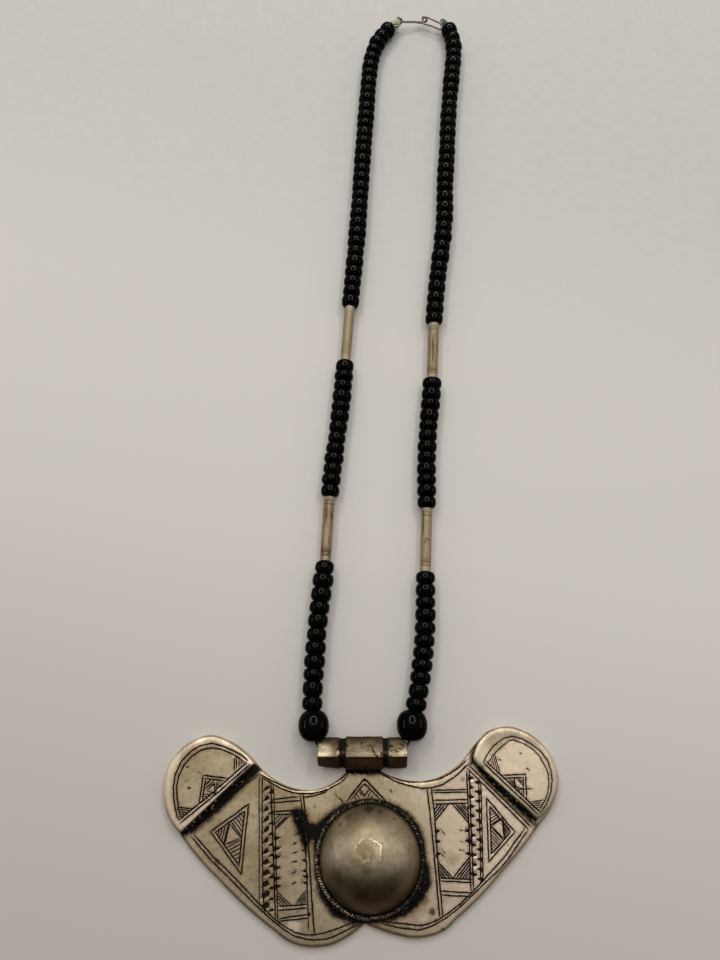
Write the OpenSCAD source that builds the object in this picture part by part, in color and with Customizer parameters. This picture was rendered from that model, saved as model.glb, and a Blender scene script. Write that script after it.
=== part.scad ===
// Necklace with a winged silver pendant on a string of black glass beads, laid out on a flat surface.
// Millimetres. +Y runs from the pendant up to the clasp, +X to the right of that, and +Z up from the
// surface that the necklace lies on, z = 0. The origin is on the back of the plate, under the dome.

/* [Pendant plate] */
// Thickness of the plate
plate_t = 1.6; // [1.2:0.1:2]
// Width of the worn, sloping rim round the plate's front
rim_w = 1.1; // [0.6:0.1:1.4]
// Height of that slope
rim_h = 0.7; // [0.3:0.1:0.9]
// How far the two tip caps stand above the plate
cap_t = 1.1; // [0.6:0.1:1.6]

/* [Dome] */
// Diameter at the foot of the dome
dome_d = 26.6; // [24:0.2:27]
// Height of the dome above the plate
dome_h = 8.5; // [6:0.5:10]
// Thickness of the raised sheet
dome_wall = 0.7; // [0.5:0.1:1]
// Thickness of the wire ring soldered round the foot
collar_wire = 1.35; // [1:0.05:1.6]
// How far right of the middle line the dome sits
dome_x = 1.85; // [0:0.05:2.5]

/* [Bail] */
// Side of the square tube
bail_side = 6.3; // [5.6:0.1:6.6]
// Extra size of the sleeve round its middle
sleeve_extra = 0.3; // [0.2:0.05:0.5]
// Wall of the tube
bail_wall = 0.8; // [0.6:0.1:1]
// How far the tube is rolled over from standing on its edge, in degrees
bail_roll = 9.6; // [0:0.2:15]
// Distance from the origin up to the tube's axis
bail_y = 26.3; // [26:0.1:26.6]
// Left end of the tube
bail_left = -12.1; // [-12.4:0.1:-11.6]
// Right end of the tube
bail_right = 11.8; // [11.4:0.1:12]

/* [Beads] */
// Mean diameter of the small glass beads
small_d = 5.75; // [5.4:0.05:6]
// Most that a small bead differs from that
small_d_vary = 0.2; // [0:0.05:0.25]
// Diameter of the two large beads
large_d = 8; // [7.8:0.05:8.1]
// Diameter of the silver tube beads
tube_d = 3.3; // [3:0.1:3.6]
// Bore of the small beads
small_bore = 1.7; // [1.6:0.1:2]
// Bore of the two large beads
large_bore = 2.2; // [2:0.1:2.6]
// Bore of the tube beads
tube_bore = 2.2; // [2:0.1:2.4]
// Least clear space between two pieces on the thread
clear_gap = 0.12; // [0.1:0.01:0.14]

/* [Thread and clasp] */
// Thickness of the thread
thread_d = 0.8; // [0.6:0.1:1]
// Thickness of the eye's wire
eye_wire = 0.7; // [0.5:0.05:0.75]
// Thickness of the hook's wire
hook_wire = 0.5; // [0.4:0.05:0.55]

/* [Hidden] */
$fn = 64;

SILVER = [0.72, 0.68, 0.56];
GLASS = [0.05, 0.05, 0.055];
THREAD = [0.6, 0.66, 0.55];
STEEL = [0.42, 0.36, 0.31];

// Plate outline, counter-clockwise from the notch under the dome: x, y, and how far the arc to the
// next point bows outwards. A negative bow curves inwards and none is a straight line.
PLATE_EDGE = [
    [0.4, -15.4, 0.3], [9.5, -18.3, 0.5], [17, -18.4, 0.7], [24, -14.6, 0.45],
    [36.9, -3.1, 0.35], [47.3, 8.3, 1.2], [53, 19, 2.5], [43.8, 32.1, 1.15],
    [34.2, 31.5, 0.25], [28.3, 25.2, -1.45], [15.5, 18.8, -0.8], [4.3, 21.7, 0],
    [3.6, 24.9, 0], [-4, 24.9, 0], [-4.7, 21, -1.05], [-14.6, 16.5, -1.65],
    [-29.2, 23.5, 0.7], [-38.4, 29.9, 0.9], [-46, 29.6, 2.1], [-53.8, 18, 1.6],
    [-48.6, 5.6, 0.4], [-38.2, -5, 0.45], [-22.7, -17.3, 0.55], [-15.5, -20.7, 0.5],
    [-7, -20, 0.4]];
// The two caps share the plate's edge round the tips and end in a straight edge across it.
LEFT_CAP = [for (i = [16 : 19]) PLATE_EDGE[i], [-48.6, 5.8, 0]];
RIGHT_CAP = [[46.8, 9.2, 1.3], PLATE_EDGE[6], PLATE_EDGE[7], [34.2, 31.5, 0.2], [31.2, 28.5, 0.1],
             [29.9, 25.4, 0.6], [32, 22.1, 0]];

// The thread's way from each large bead up to the clasp, at the height of the bead holes.
LEFT_WAY = [[-13.4, 33.3, 4], [-14, 39.2, 3.4], [-13.7, 47, 3], [-13.1, 58, 3], [-12.2, 67, 3],
            [-10.9, 79, 3], [-9.9, 98, 3], [-9, 107.6, 3], [-7.5, 120, 3], [-6.4, 131, 3],
            [-5.5, 142, 3], [-4, 162, 3], [-2.3, 181.5, 3], [-0.9, 202, 3], [0.1, 219, 3],
            [0.9, 231, 3], [1.7, 243, 3], [2.4, 253, 3], [3.3, 261.8, 3], [5.4, 269.1, 3],
            [9.2, 275.4, 3], [12.6, 278.5, 3]];
RIGHT_WAY = [[13.4, 33.4, 4], [14.8, 39.1, 3.4], [16.2, 46.5, 3], [17.5, 57, 3], [18, 66, 3],
             [18.2, 75.6, 3], [19.1, 95, 3], [19.3, 108, 3], [20.2, 120.5, 3], [21.5, 132, 3],
             [21.9, 138, 3], [22.9, 156, 3], [24.6, 172.5, 3], [26.7, 187, 3], [27.7, 197, 3],
             [28.1, 208, 3], [29.3, 222.4, 3], [30.2, 236, 3], [31.5, 249.3, 3], [32.7, 260.4, 3],
             [33.2, 266, 3], [32.8, 272.4, 3], [31.4, 276.3, 3], [29.9, 279, 3]];
// Each strand from the large bead upwards: how many beads each run has, how long the runs are, how
// long the tubes between them are, and the seed of the small differences between its beads.
LEFT_STRAND = [[11, 13, 32], [41.6, 44.5, 117], [19.6, 19.3], 7];
RIGHT_STRAND = [[11, 12, 32], [38.6, 41.8, 121.9], [19.2, 19.3], 23];
// The thread's way between the two large beads, in at one open end of the bail and out at the other.
THROUGH_BAIL = [[-12.8, 27.4, 4.4], [-11.4, 26.5, 4.4], [0, 26.3, 4.4], [11.2, 26.5, 4.4],
                [12.5, 27.6, 4.4]];
// Ends of the thread past the last bead of each strand, inside the knots.
LEFT_TAIL = [11.9, 277.8, 3];
RIGHT_TAIL = [30.4, 278.1, 3];

// The knots: where each begins beside its last bead and where it ends, and its widths there.
LEFT_KNOT = [[10.9, 276.9, 3], [13.9, 279.7, 3], 4.6, 2.6];
RIGHT_KNOT = [[30.9, 277.4, 3], [29.3, 279.9, 3], 2.8, 1.8];

// Wire of the eye, and the middle line of the doubled wire of the hook.
EYE_WAY = [[28.3, 279, 2.9], [26.2, 280.1, 3], [24.8, 280.9, 3], [23.8, 281.4, 3],
           [23, 281.4, 3], [22.4, 280.6, 3], [22.2, 279.4, 3], [22.6, 278.5, 2.9],
           [23.9, 278.2, 2.8], [26.1, 277.5, 2.7], [27.6, 276.7, 2.7], [28.2, 277.1, 2.8],
           [28.6, 277.8, 2.9]];
HOOK_WAY = [[14.7, 279.3, 3], [16.8, 279.4, 2.8], [19.3, 279.9, 2.4], [21, 280, 2.05],
            [22.3, 280.1, 2], [23.3, 280.15, 2.25], [23.9, 280.15, 3], [23.5, 280.15, 3.75],
            [22.8, 280.2, 4], [22.2, 280.3, 3.9]];
// The way across the doubled wire, and half the distance between its two strands.
HOOK_FLAT = [-0.2, 0.98, 0];
HOOK_HALF = 0.32;

// Corners that are worn off the bail's ends, seen from above, and the solder that holds the bail,
// seen along it. All are x, y or y, z.
END_CUTS = [
    [[-10.1, 30.6], [-12.3, 28.8], [-14, 28.8], [-14, 32]],
    [[9.9, 30.6], [12, 28.6], [14, 28.6], [14, 32]],
    [[-4.6, 21.9], [-12.2, 23.2], [-14, 23.2], [-14, 20]]];
SOLDER = [[20.9, plate_t - 0.2], [22.6, 3.4], [25.5, 1], [25.5, 0.3], [23, 0.2]];
SOLDER_LEFT = -3.9;
SOLDER_RIGHT = 3.7;

// Points along an outline of arcs and straight lines.
ARC_STEP = 7;
function arc_between(p, q, bow) =
    bow == 0 ? [p] :
    let (span = q - p, c = norm(span), along = span / c, out = [along.y, -along.x],
         half = 2 * atan(2 * abs(bow) / c), r = c / 2 / sin(half),
         n = max(3, ceil(2 * half / ARC_STEP)))
    [for (i = [0 : n - 1]) let (a = -half + 2 * half * i / n)
        p + along * (c / 2 + r * sin(a)) + out * sign(bow) * (r * cos(a) - r * cos(half))];
function outline(rows) =
    [for (i = [0 : len(rows) - 1]) let (a = rows[i], b = rows[(i + 1) % len(rows)])
        each arc_between([a.x, a.y], [b.x, b.y], a[2])];

// The same loop of points moved inwards by a distance, corner by corner.
function unit(v) = v / norm(v);
function inwards(loop, d) =
    [for (i = [0 : len(loop) - 1])
        let (n = len(loop), u = unit(loop[i] - loop[(i + n - 1) % n]),
             v = unit(loop[(i + 1) % n] - loop[i]),
             nu = [-u.y, u.x], nv = [-v.y, v.x])
        loop[i] + d * (nu + nv) / (1 + nu * nv)];
function at_height(loop, z) = [for (p = loop) [p.x, p.y, z]];

// A smooth way through points: each stretch is cut into steps, and every point carries its distance.
WAY_STEPS = 6;
function slope(way, i) =
    let (a = way[max(i - 1, 0)], b = way[min(i + 1, len(way) - 1)],
         reach = norm(way[i] - a) + norm(b - way[i]))
    (b - a) / reach;
function smooth(way, steps = WAY_STEPS) =
    [for (i = [0 : len(way) - 2], k = [0 : steps - 1])
        let (t = k / steps, c = norm(way[i + 1] - way[i]),
             h00 = 2 * t ^ 3 - 3 * t ^ 2 + 1, h10 = t ^ 3 - 2 * t ^ 2 + t,
             h01 = -2 * t ^ 3 + 3 * t ^ 2, h11 = t ^ 3 - t ^ 2)
        h00 * way[i] + h10 * c * slope(way, i) + h01 * way[i + 1] + h11 * c * slope(way, i + 1),
     way[len(way) - 1]];
function distances(path) =
    [for (i = 0, s = 0; i < len(path);
          s = s + (i + 1 < len(path) ? norm(path[i + 1] - path[i]) : 0), i = i + 1) s];
function table(path) =
    let (s = distances(path)) [for (k = [0 : 2]) [for (i = [0 : len(path) - 1]) [s[i], path[i][k]]]];
function place(tab, s) = [for (k = [0 : 2]) lookup(s, tab[k])];

LEFT_TABLE = table(smooth(LEFT_WAY));
RIGHT_TABLE = table(smooth(RIGHT_WAY));

// Distances along a strand, from the middle of its large bead: where a run of beads begins, and where
// the tube after it begins.
large_len = large_d - 0.2;
first_joint = large_len / 2 + clear_gap;
function run_start(strand, k) = k == 0 ? first_joint : tube_start(strand, k - 1) + strand[2][k - 1];
function tube_start(strand, k) = run_start(strand, k) + strand[1][k];

// The points where the beads of one run meet. The beads differ a little in length.
length_vary = 0.08;
function joints(tab, strand, k) =
    let (count = strand[0][k], pitch = strand[1][k] / count,
         shift = rands(-length_vary, length_vary, count + 1, strand[3] + 10 * k))
    [for (i = [0 : count])
        place(tab, run_start(strand, k) + pitch * i + (i == 0 || i == count ? 0 : pitch * shift[i]))];

// Round stock swept along a path. The ring turns with the path and never twists.
function tangents(path) =
    [for (i = [0 : len(path) - 1]) unit(path[min(i + 1, len(path) - 1)] - path[max(i - 1, 0)])];
function sides_of(t) =
    let (first = unit(cross(t[0], [0.1, 0.2, 1])))
    [for (i = 0, n = first; i < len(t);
          i = i + 1, n = i < len(t) ? unit(n - (n * t[i]) * t[i]) : n) n];
module wire(path, d, sides = 6) {
    t = tangents(path);
    n = sides_of(t);
    rings = [for (i = [0 : len(path) - 1], k = [0 : sides - 1])
        path[i] + d / 2 * (cos(360 * k / sides) * n[i] + sin(360 * k / sides) * cross(t[i], n[i]))];
    last = (len(path) - 1) * sides;
    polyhedron(rings, [
        [for (k = [0 : sides - 1]) k],
        [for (k = [sides - 1 : -1 : 0]) last + k],
        for (i = [0 : len(path) - 2], k = [0 : sides - 1])
            let (a = i * sides + k, b = i * sides + (k + 1) % sides)
            each [[a, b + sides, b], [a, a + sides, b + sides]]]);
}

// Puts a piece made round the Z axis between two points of the thread.
module between(p, q) {
    v = q - p;
    translate((p + q) / 2)
        rotate([0, acos(v.z / norm(v)), atan2(v.y, v.x)])
            children();
}

// A flat piece of sheet with a worn, sloping rim round its front: a core, a base, and a rim of
// three-sided section that runs round the edge and is rooted in both.
module sheet(rows, bottom, top, inset) {
    root = 0.3;
    edge = inwards(outline(rows), inset);
    flat_edge = inwards(outline(rows), inset + rim_w);
    root_edge = inwards(outline(rows), inset + rim_w + root);
    n = len(edge);
    translate([0, 0, bottom]) linear_extrude(top - rim_h - bottom) polygon(edge);
    translate([0, 0, top - rim_h - root]) linear_extrude(rim_h + root) polygon(flat_edge);
    polyhedron(
        concat(at_height(edge, top - rim_h), at_height(flat_edge, top),
               at_height(root_edge, top - rim_h - root / 2)),
        [for (k = [0 : n - 1], side = [0 : 2])
            let (a = side * n, b = (side + 1) % 3 * n, next = (k + 1) % n)
            each [[a + k, b + next, a + next], [a + k, b + k, b + next]]]);
}

// Hollow dome of raised sheet, closed underneath by the plate, in its ring of wire. Both are sunk a
// little into the plate, as solder joins them.
sink = 0.2;
module dome() {
    r_ball = (dome_d ^ 2 / 4 + dome_h ^ 2) / (2 * dome_h);
    z_ball = plate_t + dome_h - r_ball;
    translate([dome_x, 0, 0]) {
        difference() {
            translate([0, 0, z_ball]) sphere(r_ball);
            translate([0, 0, z_ball]) sphere(r_ball - dome_wall);
            translate([0, 0, plate_t - sink - 2 * r_ball])
                cylinder(h = 2 * r_ball, d = 2.5 * dome_d);
        }
        translate([0, 0, plate_t + collar_wire / 2 - sink])
            rotate_extrude() translate([dome_d / 2 + collar_wire / 2, 0]) circle(d = collar_wire);
    }
}

// Section of the square tube, with its corners worn round.
worn_corner = 1.33;
module tube_section(side) {
    intersection() {
        square(side, center = true);
        circle(d = worn_corner * side);
    }
}

module along_bail(x0, x1) {
    translate([x0, bail_y, bail_z])
        rotate([90, 0, 90]) linear_extrude(x1 - x0) rotate(45 + bail_roll) children();
}

// Bail: a square tube with a sleeve round its middle, soldered to the neck of the plate.
sleeve_left = -4.5;
sleeve_right = 5.3;
bail_z = (bail_side + sleeve_extra) * worn_corner / 2;
module bail() {
    difference() {
        union() {
            along_bail(bail_left, bail_right) tube_section(bail_side);
            along_bail(sleeve_left, sleeve_right) tube_section(bail_side + sleeve_extra);
            translate([SOLDER_LEFT, 0, 0])
                rotate([90, 0, 90]) linear_extrude(SOLDER_RIGHT - SOLDER_LEFT) polygon(SOLDER);
        }
        along_bail(bail_left - 1, bail_right + 1) tube_section(bail_side - 2 * bail_wall);
        for (cut = END_CUTS)
            translate([0, 0, -1]) linear_extrude(2 * bail_z + 2) polygon(cut);
    }
}

// How far the edge of a tip cap stays inside the edge of the plate.
cap_inset = 0.15;
module pendant() {
    color(SILVER) {
        sheet(PLATE_EDGE, 0, plate_t, 0);
        for (cap = [LEFT_CAP, RIGHT_CAP])
            sheet(cap, plate_t / 2, plate_t + cap_t, cap_inset);
        dome();
        bail();
    }
}

// A drilled bead with a round rim.
module bead(d, length, bore) {
    r = length / 2;
    rotate_extrude() difference() {
        union() {
            translate([d / 2 - r, 0]) circle(r);
            translate([0, -r]) square([d / 2 - r, length]);
        }
        translate([-d, -length]) square([d + bore / 2, 2 * length]);
    }
}

// Where the string bends, a bead is shortened so that its rim stays clear of its neighbour's.
module bead_run(ends, seed) {
    count = len(ends) - 1;
    sizes = rands(-small_d_vary, small_d_vary, count, seed);
    for (i = [0 : count - 1]) {
        d = small_d + sizes[i];
        span = ends[i + 1] - ends[i];
        before = i == 0 ? span : ends[i] - ends[i - 1];
        after = i == count - 1 ? span : ends[i + 2] - ends[i + 1];
        straight = min(1, unit(span) * unit(before), unit(span) * unit(after));
        tilt = acos(straight) / 2;
        r = (norm(span) / 2 * cos(tilt) - clear_gap / 2 - d / 2 * sin(tilt)) / (1 - sin(tilt));
        between(ends[i], ends[i + 1]) bead(d, 2 * r, small_bore);
    }
}

module small_beads(tab, strand) {
    color(GLASS)
        for (k = [0 : 2])
            bead_run(joints(tab, strand, k), strand[3] + 10 * k + 1);
}

module large_bead(tab) {
    color(GLASS)
        between(bail_side_end(tab), place(tab, first_joint)) bead(large_d, large_len, large_bore);
}
function bail_side_end(tab) = 2 * place(tab, 0) - place(tab, first_joint);

// Silver sheet rolled to a tube, with two lines cut round each end.
line_w = 0.25;
line_depth = 0.1;
LINE_INSETS = [1.2, 2.3];
module tube_bead(tab, strand, k) {
    from = tube_start(strand, k);
    length = strand[2][k];
    half = length / 2 - clear_gap;
    color(SILVER)
        between(place(tab, from), place(tab, from + length))
            difference() {
                cylinder(h = 2 * half, d = tube_d, center = true);
                cylinder(h = 3 * half, d = tube_bore, center = true);
                for (end = [-1, 1], inset = LINE_INSETS)
                    translate([0, 0, end * (half - inset)]) difference() {
                        cylinder(h = line_w, d = tube_d + 1, center = true);
                        cylinder(h = 2 * line_w, d = tube_d - 2 * line_depth, center = true);
                    }
            }
}

module beads_left() small_beads(LEFT_TABLE, LEFT_STRAND);
module beads_right() small_beads(RIGHT_TABLE, RIGHT_STRAND);
module large_bead_left() large_bead(LEFT_TABLE);
module large_bead_right() large_bead(RIGHT_TABLE);
module tube_bead_lower_left() tube_bead(LEFT_TABLE, LEFT_STRAND, 0);
module tube_bead_upper_left() tube_bead(LEFT_TABLE, LEFT_STRAND, 1);
module tube_bead_lower_right() tube_bead(RIGHT_TABLE, RIGHT_STRAND, 0);
module tube_bead_upper_right() tube_bead(RIGHT_TABLE, RIGHT_STRAND, 1);

// One thread down one side, through the bail and up the other, straight from bead to bead.
function up_strand(tab, strand) =
    [bail_side_end(tab), each joints(tab, strand, 0), each joints(tab, strand, 1),
     each joints(tab, strand, 2)];
function reversed(list) = [for (i = [len(list) - 1 : -1 : 0]) list[i]];
module thread() {
    color(THREAD)
        wire([LEFT_TAIL, each reversed(up_strand(LEFT_TABLE, LEFT_STRAND)), each THROUGH_BAIL,
              each up_strand(RIGHT_TABLE, RIGHT_STRAND), RIGHT_TAIL], thread_d, 8);
}

// Eye: a long loop of wire whose two ends are bound into the right knot.
module clasp_eye() {
    color(STEEL) wire(smooth(EYE_WAY, 3), eye_wire);
}

// Hook: a doubled wire whose folded end passes up through the eye and back over it.
module clasp_hook() {
    mid = smooth(HOOK_WAY, 3);
    t = tangents(mid);
    side = [for (v = t) unit(HOOK_FLAT - (HOOK_FLAT * v) * v)];
    last = len(mid) - 1;
    fold = [for (a = [60, 0, -60])
        mid[last] + HOOK_HALF * (cos(a) * t[last] + sin(a) * side[last])];
    color(STEEL)
        wire([for (i = [0 : last]) mid[i] + HOOK_HALF * side[i], each fold,
              for (i = [last : -1 : 0]) mid[i] - HOOK_HALF * side[i]], hook_wire);
}

// Wound thread at each end of the string, drilled for the thread that it holds and closed at the
// clasp's side.
knot_bore = 1.2;
knot_end = 0.6;
module knot(place) {
    half = norm(place[1] - place[0]) / 2;
    r0 = place[2] / 2;
    r1 = place[3] / 2;
    color(THREAD)
        between(place[0], place[1]) rotate_extrude() difference() {
            polygon([[0, -half], [r0 - knot_end, -half], [r0, -half + knot_end],
                     [r1, half - knot_end], [r1 - knot_end, half], [0, half]]);
            translate([-place[2], -2 * half]) square([place[2] + knot_bore / 2, 3 * half - knot_end]);
        }
}
module knot_left() knot(LEFT_KNOT);
module knot_right() knot(RIGHT_KNOT);

pendant();
thread();
beads_left();
beads_right();
large_bead_left();
large_bead_right();
tube_bead_lower_left();
tube_bead_upper_left();
tube_bead_lower_right();
tube_bead_upper_right();
clasp_hook();
clasp_eye();
knot_left();
knot_right();
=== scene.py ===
"""Looks of the beaded necklace: an engraved silver pendant with a raised dome, glass beads and tube beads.

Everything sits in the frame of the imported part. Tables of places are in millimetres: x to the right,
y up towards the clasp, z up off the surface that the necklace lies on.
"""

import math
import random

import bmesh
import bpy
import numpy as np
from mathutils import Matrix, Vector, noise
from mathutils.geometry import delaunay_2d_cdt


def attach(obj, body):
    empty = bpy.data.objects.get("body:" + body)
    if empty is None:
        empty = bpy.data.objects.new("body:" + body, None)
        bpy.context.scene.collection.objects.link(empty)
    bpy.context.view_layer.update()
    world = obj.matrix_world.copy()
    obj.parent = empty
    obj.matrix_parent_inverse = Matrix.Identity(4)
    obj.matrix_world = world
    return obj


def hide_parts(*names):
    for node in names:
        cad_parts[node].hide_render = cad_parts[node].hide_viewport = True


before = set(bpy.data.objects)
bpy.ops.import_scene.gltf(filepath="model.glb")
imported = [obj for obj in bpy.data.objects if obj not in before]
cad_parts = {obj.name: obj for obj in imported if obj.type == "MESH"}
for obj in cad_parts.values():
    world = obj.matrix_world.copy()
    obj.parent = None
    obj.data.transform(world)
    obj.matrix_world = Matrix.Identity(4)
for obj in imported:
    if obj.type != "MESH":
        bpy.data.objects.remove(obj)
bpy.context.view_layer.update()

MM = 0.001


def put(name, data):
    """A new object in the scene."""
    made = bpy.data.objects.new(name, data)
    bpy.context.scene.collection.objects.link(made)
    return made


def direction(path, i):
    """Which way a row of points runs at one of them."""
    return (path[min(i + 1, len(path) - 1)] - path[max(i - 1, 0)]).normalized()


# ---------------------------------------------------------------- camera

# The camera looks from above the strings' lower half, and is tipped towards the clasp. Its lens is in millimetres
# and its clipping distances are in metres.
CAMERA_PLACE = (-0.79, 39.46, 218.8)
CAMERA_TIP = math.radians(16.53)
CAMERA_LENS = 28.05
CAMERA_CLIP = (0.01, 20)

camera = put("camera", bpy.data.cameras.new("camera"))
camera.location = Vector(CAMERA_PLACE) * MM
camera.rotation_euler = (CAMERA_TIP, 0, 0)
camera.data.lens = CAMERA_LENS
camera.data.clip_start, camera.data.clip_end = CAMERA_CLIP
bpy.context.scene.camera = camera

# ---------------------------------------------------------------- the pendant's shape, in millimetres

# The plate's thickness, and how wide and high its worn rim is.
PLATE_T = 1.6
RIM_W = 1.1
RIM_H = 0.55
# The tip caps: how far they stand above the plate and stay inside its edge, and their rim. Along the straight edge
# across the plate it is narrow.
CAP_T = 1.1
CAP_INSET = 0.15
CAP_RIM_W = 1.2
CAP_RIM_H = 0.6
CAP_STRAIGHT_RIM_W = 0.45
# The dome's middle, radius and height, and the thickness of the collar round it.
DOME = Vector((1.85, 0))
DOME_R = 13.3
DOME_H = 8.5
COLLAR_WIRE = 1.35

# Outline of the plate, counter-clockwise from the notch under the dome, as in the part's source:
# x, y, and how far the arc to the next point bows outwards.
PLATE_EDGE = [
    (0.4, -15.4, 0.3), (9.5, -18.3, 0.5), (17, -18.4, 0.7), (24, -14.6, 0.45), (36.9, -3.1, 0.35),
    (47.3, 8.3, 1.2), (53, 19, 2.5), (43.8, 32.1, 1.15), (34.2, 31.5, 0.25), (28.3, 25.2, -1.45),
    (15.5, 18.8, -0.8), (4.3, 21.7, 0), (3.6, 24.9, 0), (-4, 24.9, 0), (-4.7, 21, -1.05),
    (-14.6, 16.5, -1.65), (-29.2, 23.5, 0.7), (-38.4, 29.9, 0.9), (-46, 29.6, 2.1), (-53.8, 18, 1.6),
    (-48.6, 5.6, 0.4), (-38.2, -5, 0.45), (-22.7, -17.3, 0.55), (-15.5, -20.7, 0.5), (-7, -20, 0.4)]
LEFT_CAP = [*PLATE_EDGE[16:20], (-48.6, 5.8, 0)]
RIGHT_CAP = [(46.8, 9.2, 1.3), *PLATE_EDGE[6:8], (34.2, 31.5, 0.2), (31.2, 28.5, 0.1), (29.9, 25.4, 0.6),
             (32, 22.1, 0)]
# Longest piece that a side is cut into, and most that an arc turns in one piece, in degrees.
SIDE_STEP = 1.2
ARC_STEP = 4.0


def outline(rows):
    """Points along an outline of arcs and straight lines."""
    points = []
    for (ax, ay, bow), (bx, by, _) in zip(rows, rows[1:] + rows[:1]):
        p, q = Vector((ax, ay)), Vector((bx, by))
        span = (q - p).length
        along = (q - p) / span
        out = Vector((along.y, -along.x))
        if bow == 0:
            n = max(1, int(span / SIDE_STEP))
            points += [p + (q - p) * i / n for i in range(n)]
            continue
        half = 2 * math.atan(2 * abs(bow) / span)
        r = span / 2 / math.sin(half)
        n = max(4, math.ceil(2 * math.degrees(half) / ARC_STEP), int(span / SIDE_STEP))
        for i in range(n):
            a = -half + 2 * half * i / n
            points.append(p + along * (span / 2 + r * math.sin(a))
                          + out * math.copysign(1, bow) * r * (math.cos(a) - math.cos(half)))
    return points


# ---------------------------------------------------------------- engraving

# Every engraved line is a row of points. MAIN lines are cut wider than HATCH lines: both are half widths.
MAIN = 0.23
HATCH = 0.19
CUT_DEEP = 0.24
HATCH_DEEP = 0.17
# How far a line strays from the one that was meant, and how much its width changes.
WAVER = 0.09
UNEVEN_WIDTH = 0.35
LINE_STEP = 0.9
# The wavering is seeded, so that every line is the same each time.
noise.seed_set(4)


def finer(points, step):
    """The same way with points no further apart than about a step."""
    points = [Vector(p) for p in points]
    path = [points[0]]
    for p, q in zip(points, points[1:]):
        n = max(1, round((q - p).length / step))
        path += [p + (q - p) * i / n for i in range(1, n + 1)]
    return path


class Engraving:
    """Gathers cut strokes: each is a list of points with a half width at each, and a depth."""

    def __init__(self):
        self.strokes = []

    def line(self, points, half=MAIN, depth=CUT_DEEP, taper=0.5):
        """One cut line. It wavers a little, as a hand-held graver does, and thins at both ends."""
        path = finer(points, LINE_STEP)
        shaken, widths = [], []
        for i, p in enumerate(path):
            waver = noise.noise_vector(Vector((p.x * 0.45, p.y * 0.45, len(self.strokes) * 3.1)))
            end = i in (0, len(path) - 1)
            shaken.append(p + Vector((waver.x, waver.y)) * WAVER)
            change = 1 + UNEVEN_WIDTH * noise.noise(Vector((p.x * 0.9, p.y * 0.9, len(self.strokes) * 1.7)))
            widths.append(half * (taper if end else change))
        self.strokes.append((shaken, widths, depth))

    def lines(self, *rows, half=MAIN):
        """Lines of one width, each given by its points."""
        for points in rows:
            self.line(points, half)

    def triangle(self, a, b, c, gap):
        """A triangle and a smaller one inside it, gap away."""
        corners = [Vector(a), Vector(b), Vector(c)]
        sides = [(corners[(i + 1) % 3] - corners[(i + 2) % 3]).length for i in range(3)]
        middle = sum((p * s for p, s in zip(corners, sides)), Vector((0, 0))) / sum(sides)
        doubled = abs((corners[1] - corners[0]).cross(corners[2] - corners[0]))
        shrink = 1 - gap * sum(sides) / doubled
        for f in (1, shrink):
            points = [middle + (p - middle) * f for p in corners]
            self.lines(*zip(points, points[1:] + points[:1]))

    def hatch(self, corner, p, q, count, half=HATCH):
        """Fills a three-cornered field with lines that run parallel to the side p to q."""
        corner, p, q = Vector(corner), Vector(p), Vector(q)
        for i in range(1, count + 1):
            f = (i + 0.15) / (count + 0.15)
            self.line([corner + (p - corner) * f, corner + (q - corner) * f], half, HATCH_DEEP, 0.7)

    def stamp(self, x, y, dx, dy=0.0, half=0.6, depth=CUT_DEEP):
        """A three-cornered punch mark from its blunt side at x, y to its point."""
        base = Vector((x, y))
        tip = base + Vector((dx, dy))
        middle = base.lerp(tip, 0.5)
        self.strokes.append(([base, middle, tip], [half, half * 0.62, 0.03], depth))

    def leaf(self, x, y, dx, dy, half):
        """A punch mark with a thin tail at x, y and a round head."""
        tail = Vector((x, y))
        way = Vector((dx, dy))
        self.strokes.append(([tail, tail + way * 0.3, tail + way * 0.65, tail + way * 0.9, tail + way],
                             [0.12, 0.2, half, half * 0.95, half * 0.6], 0.26))


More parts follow.
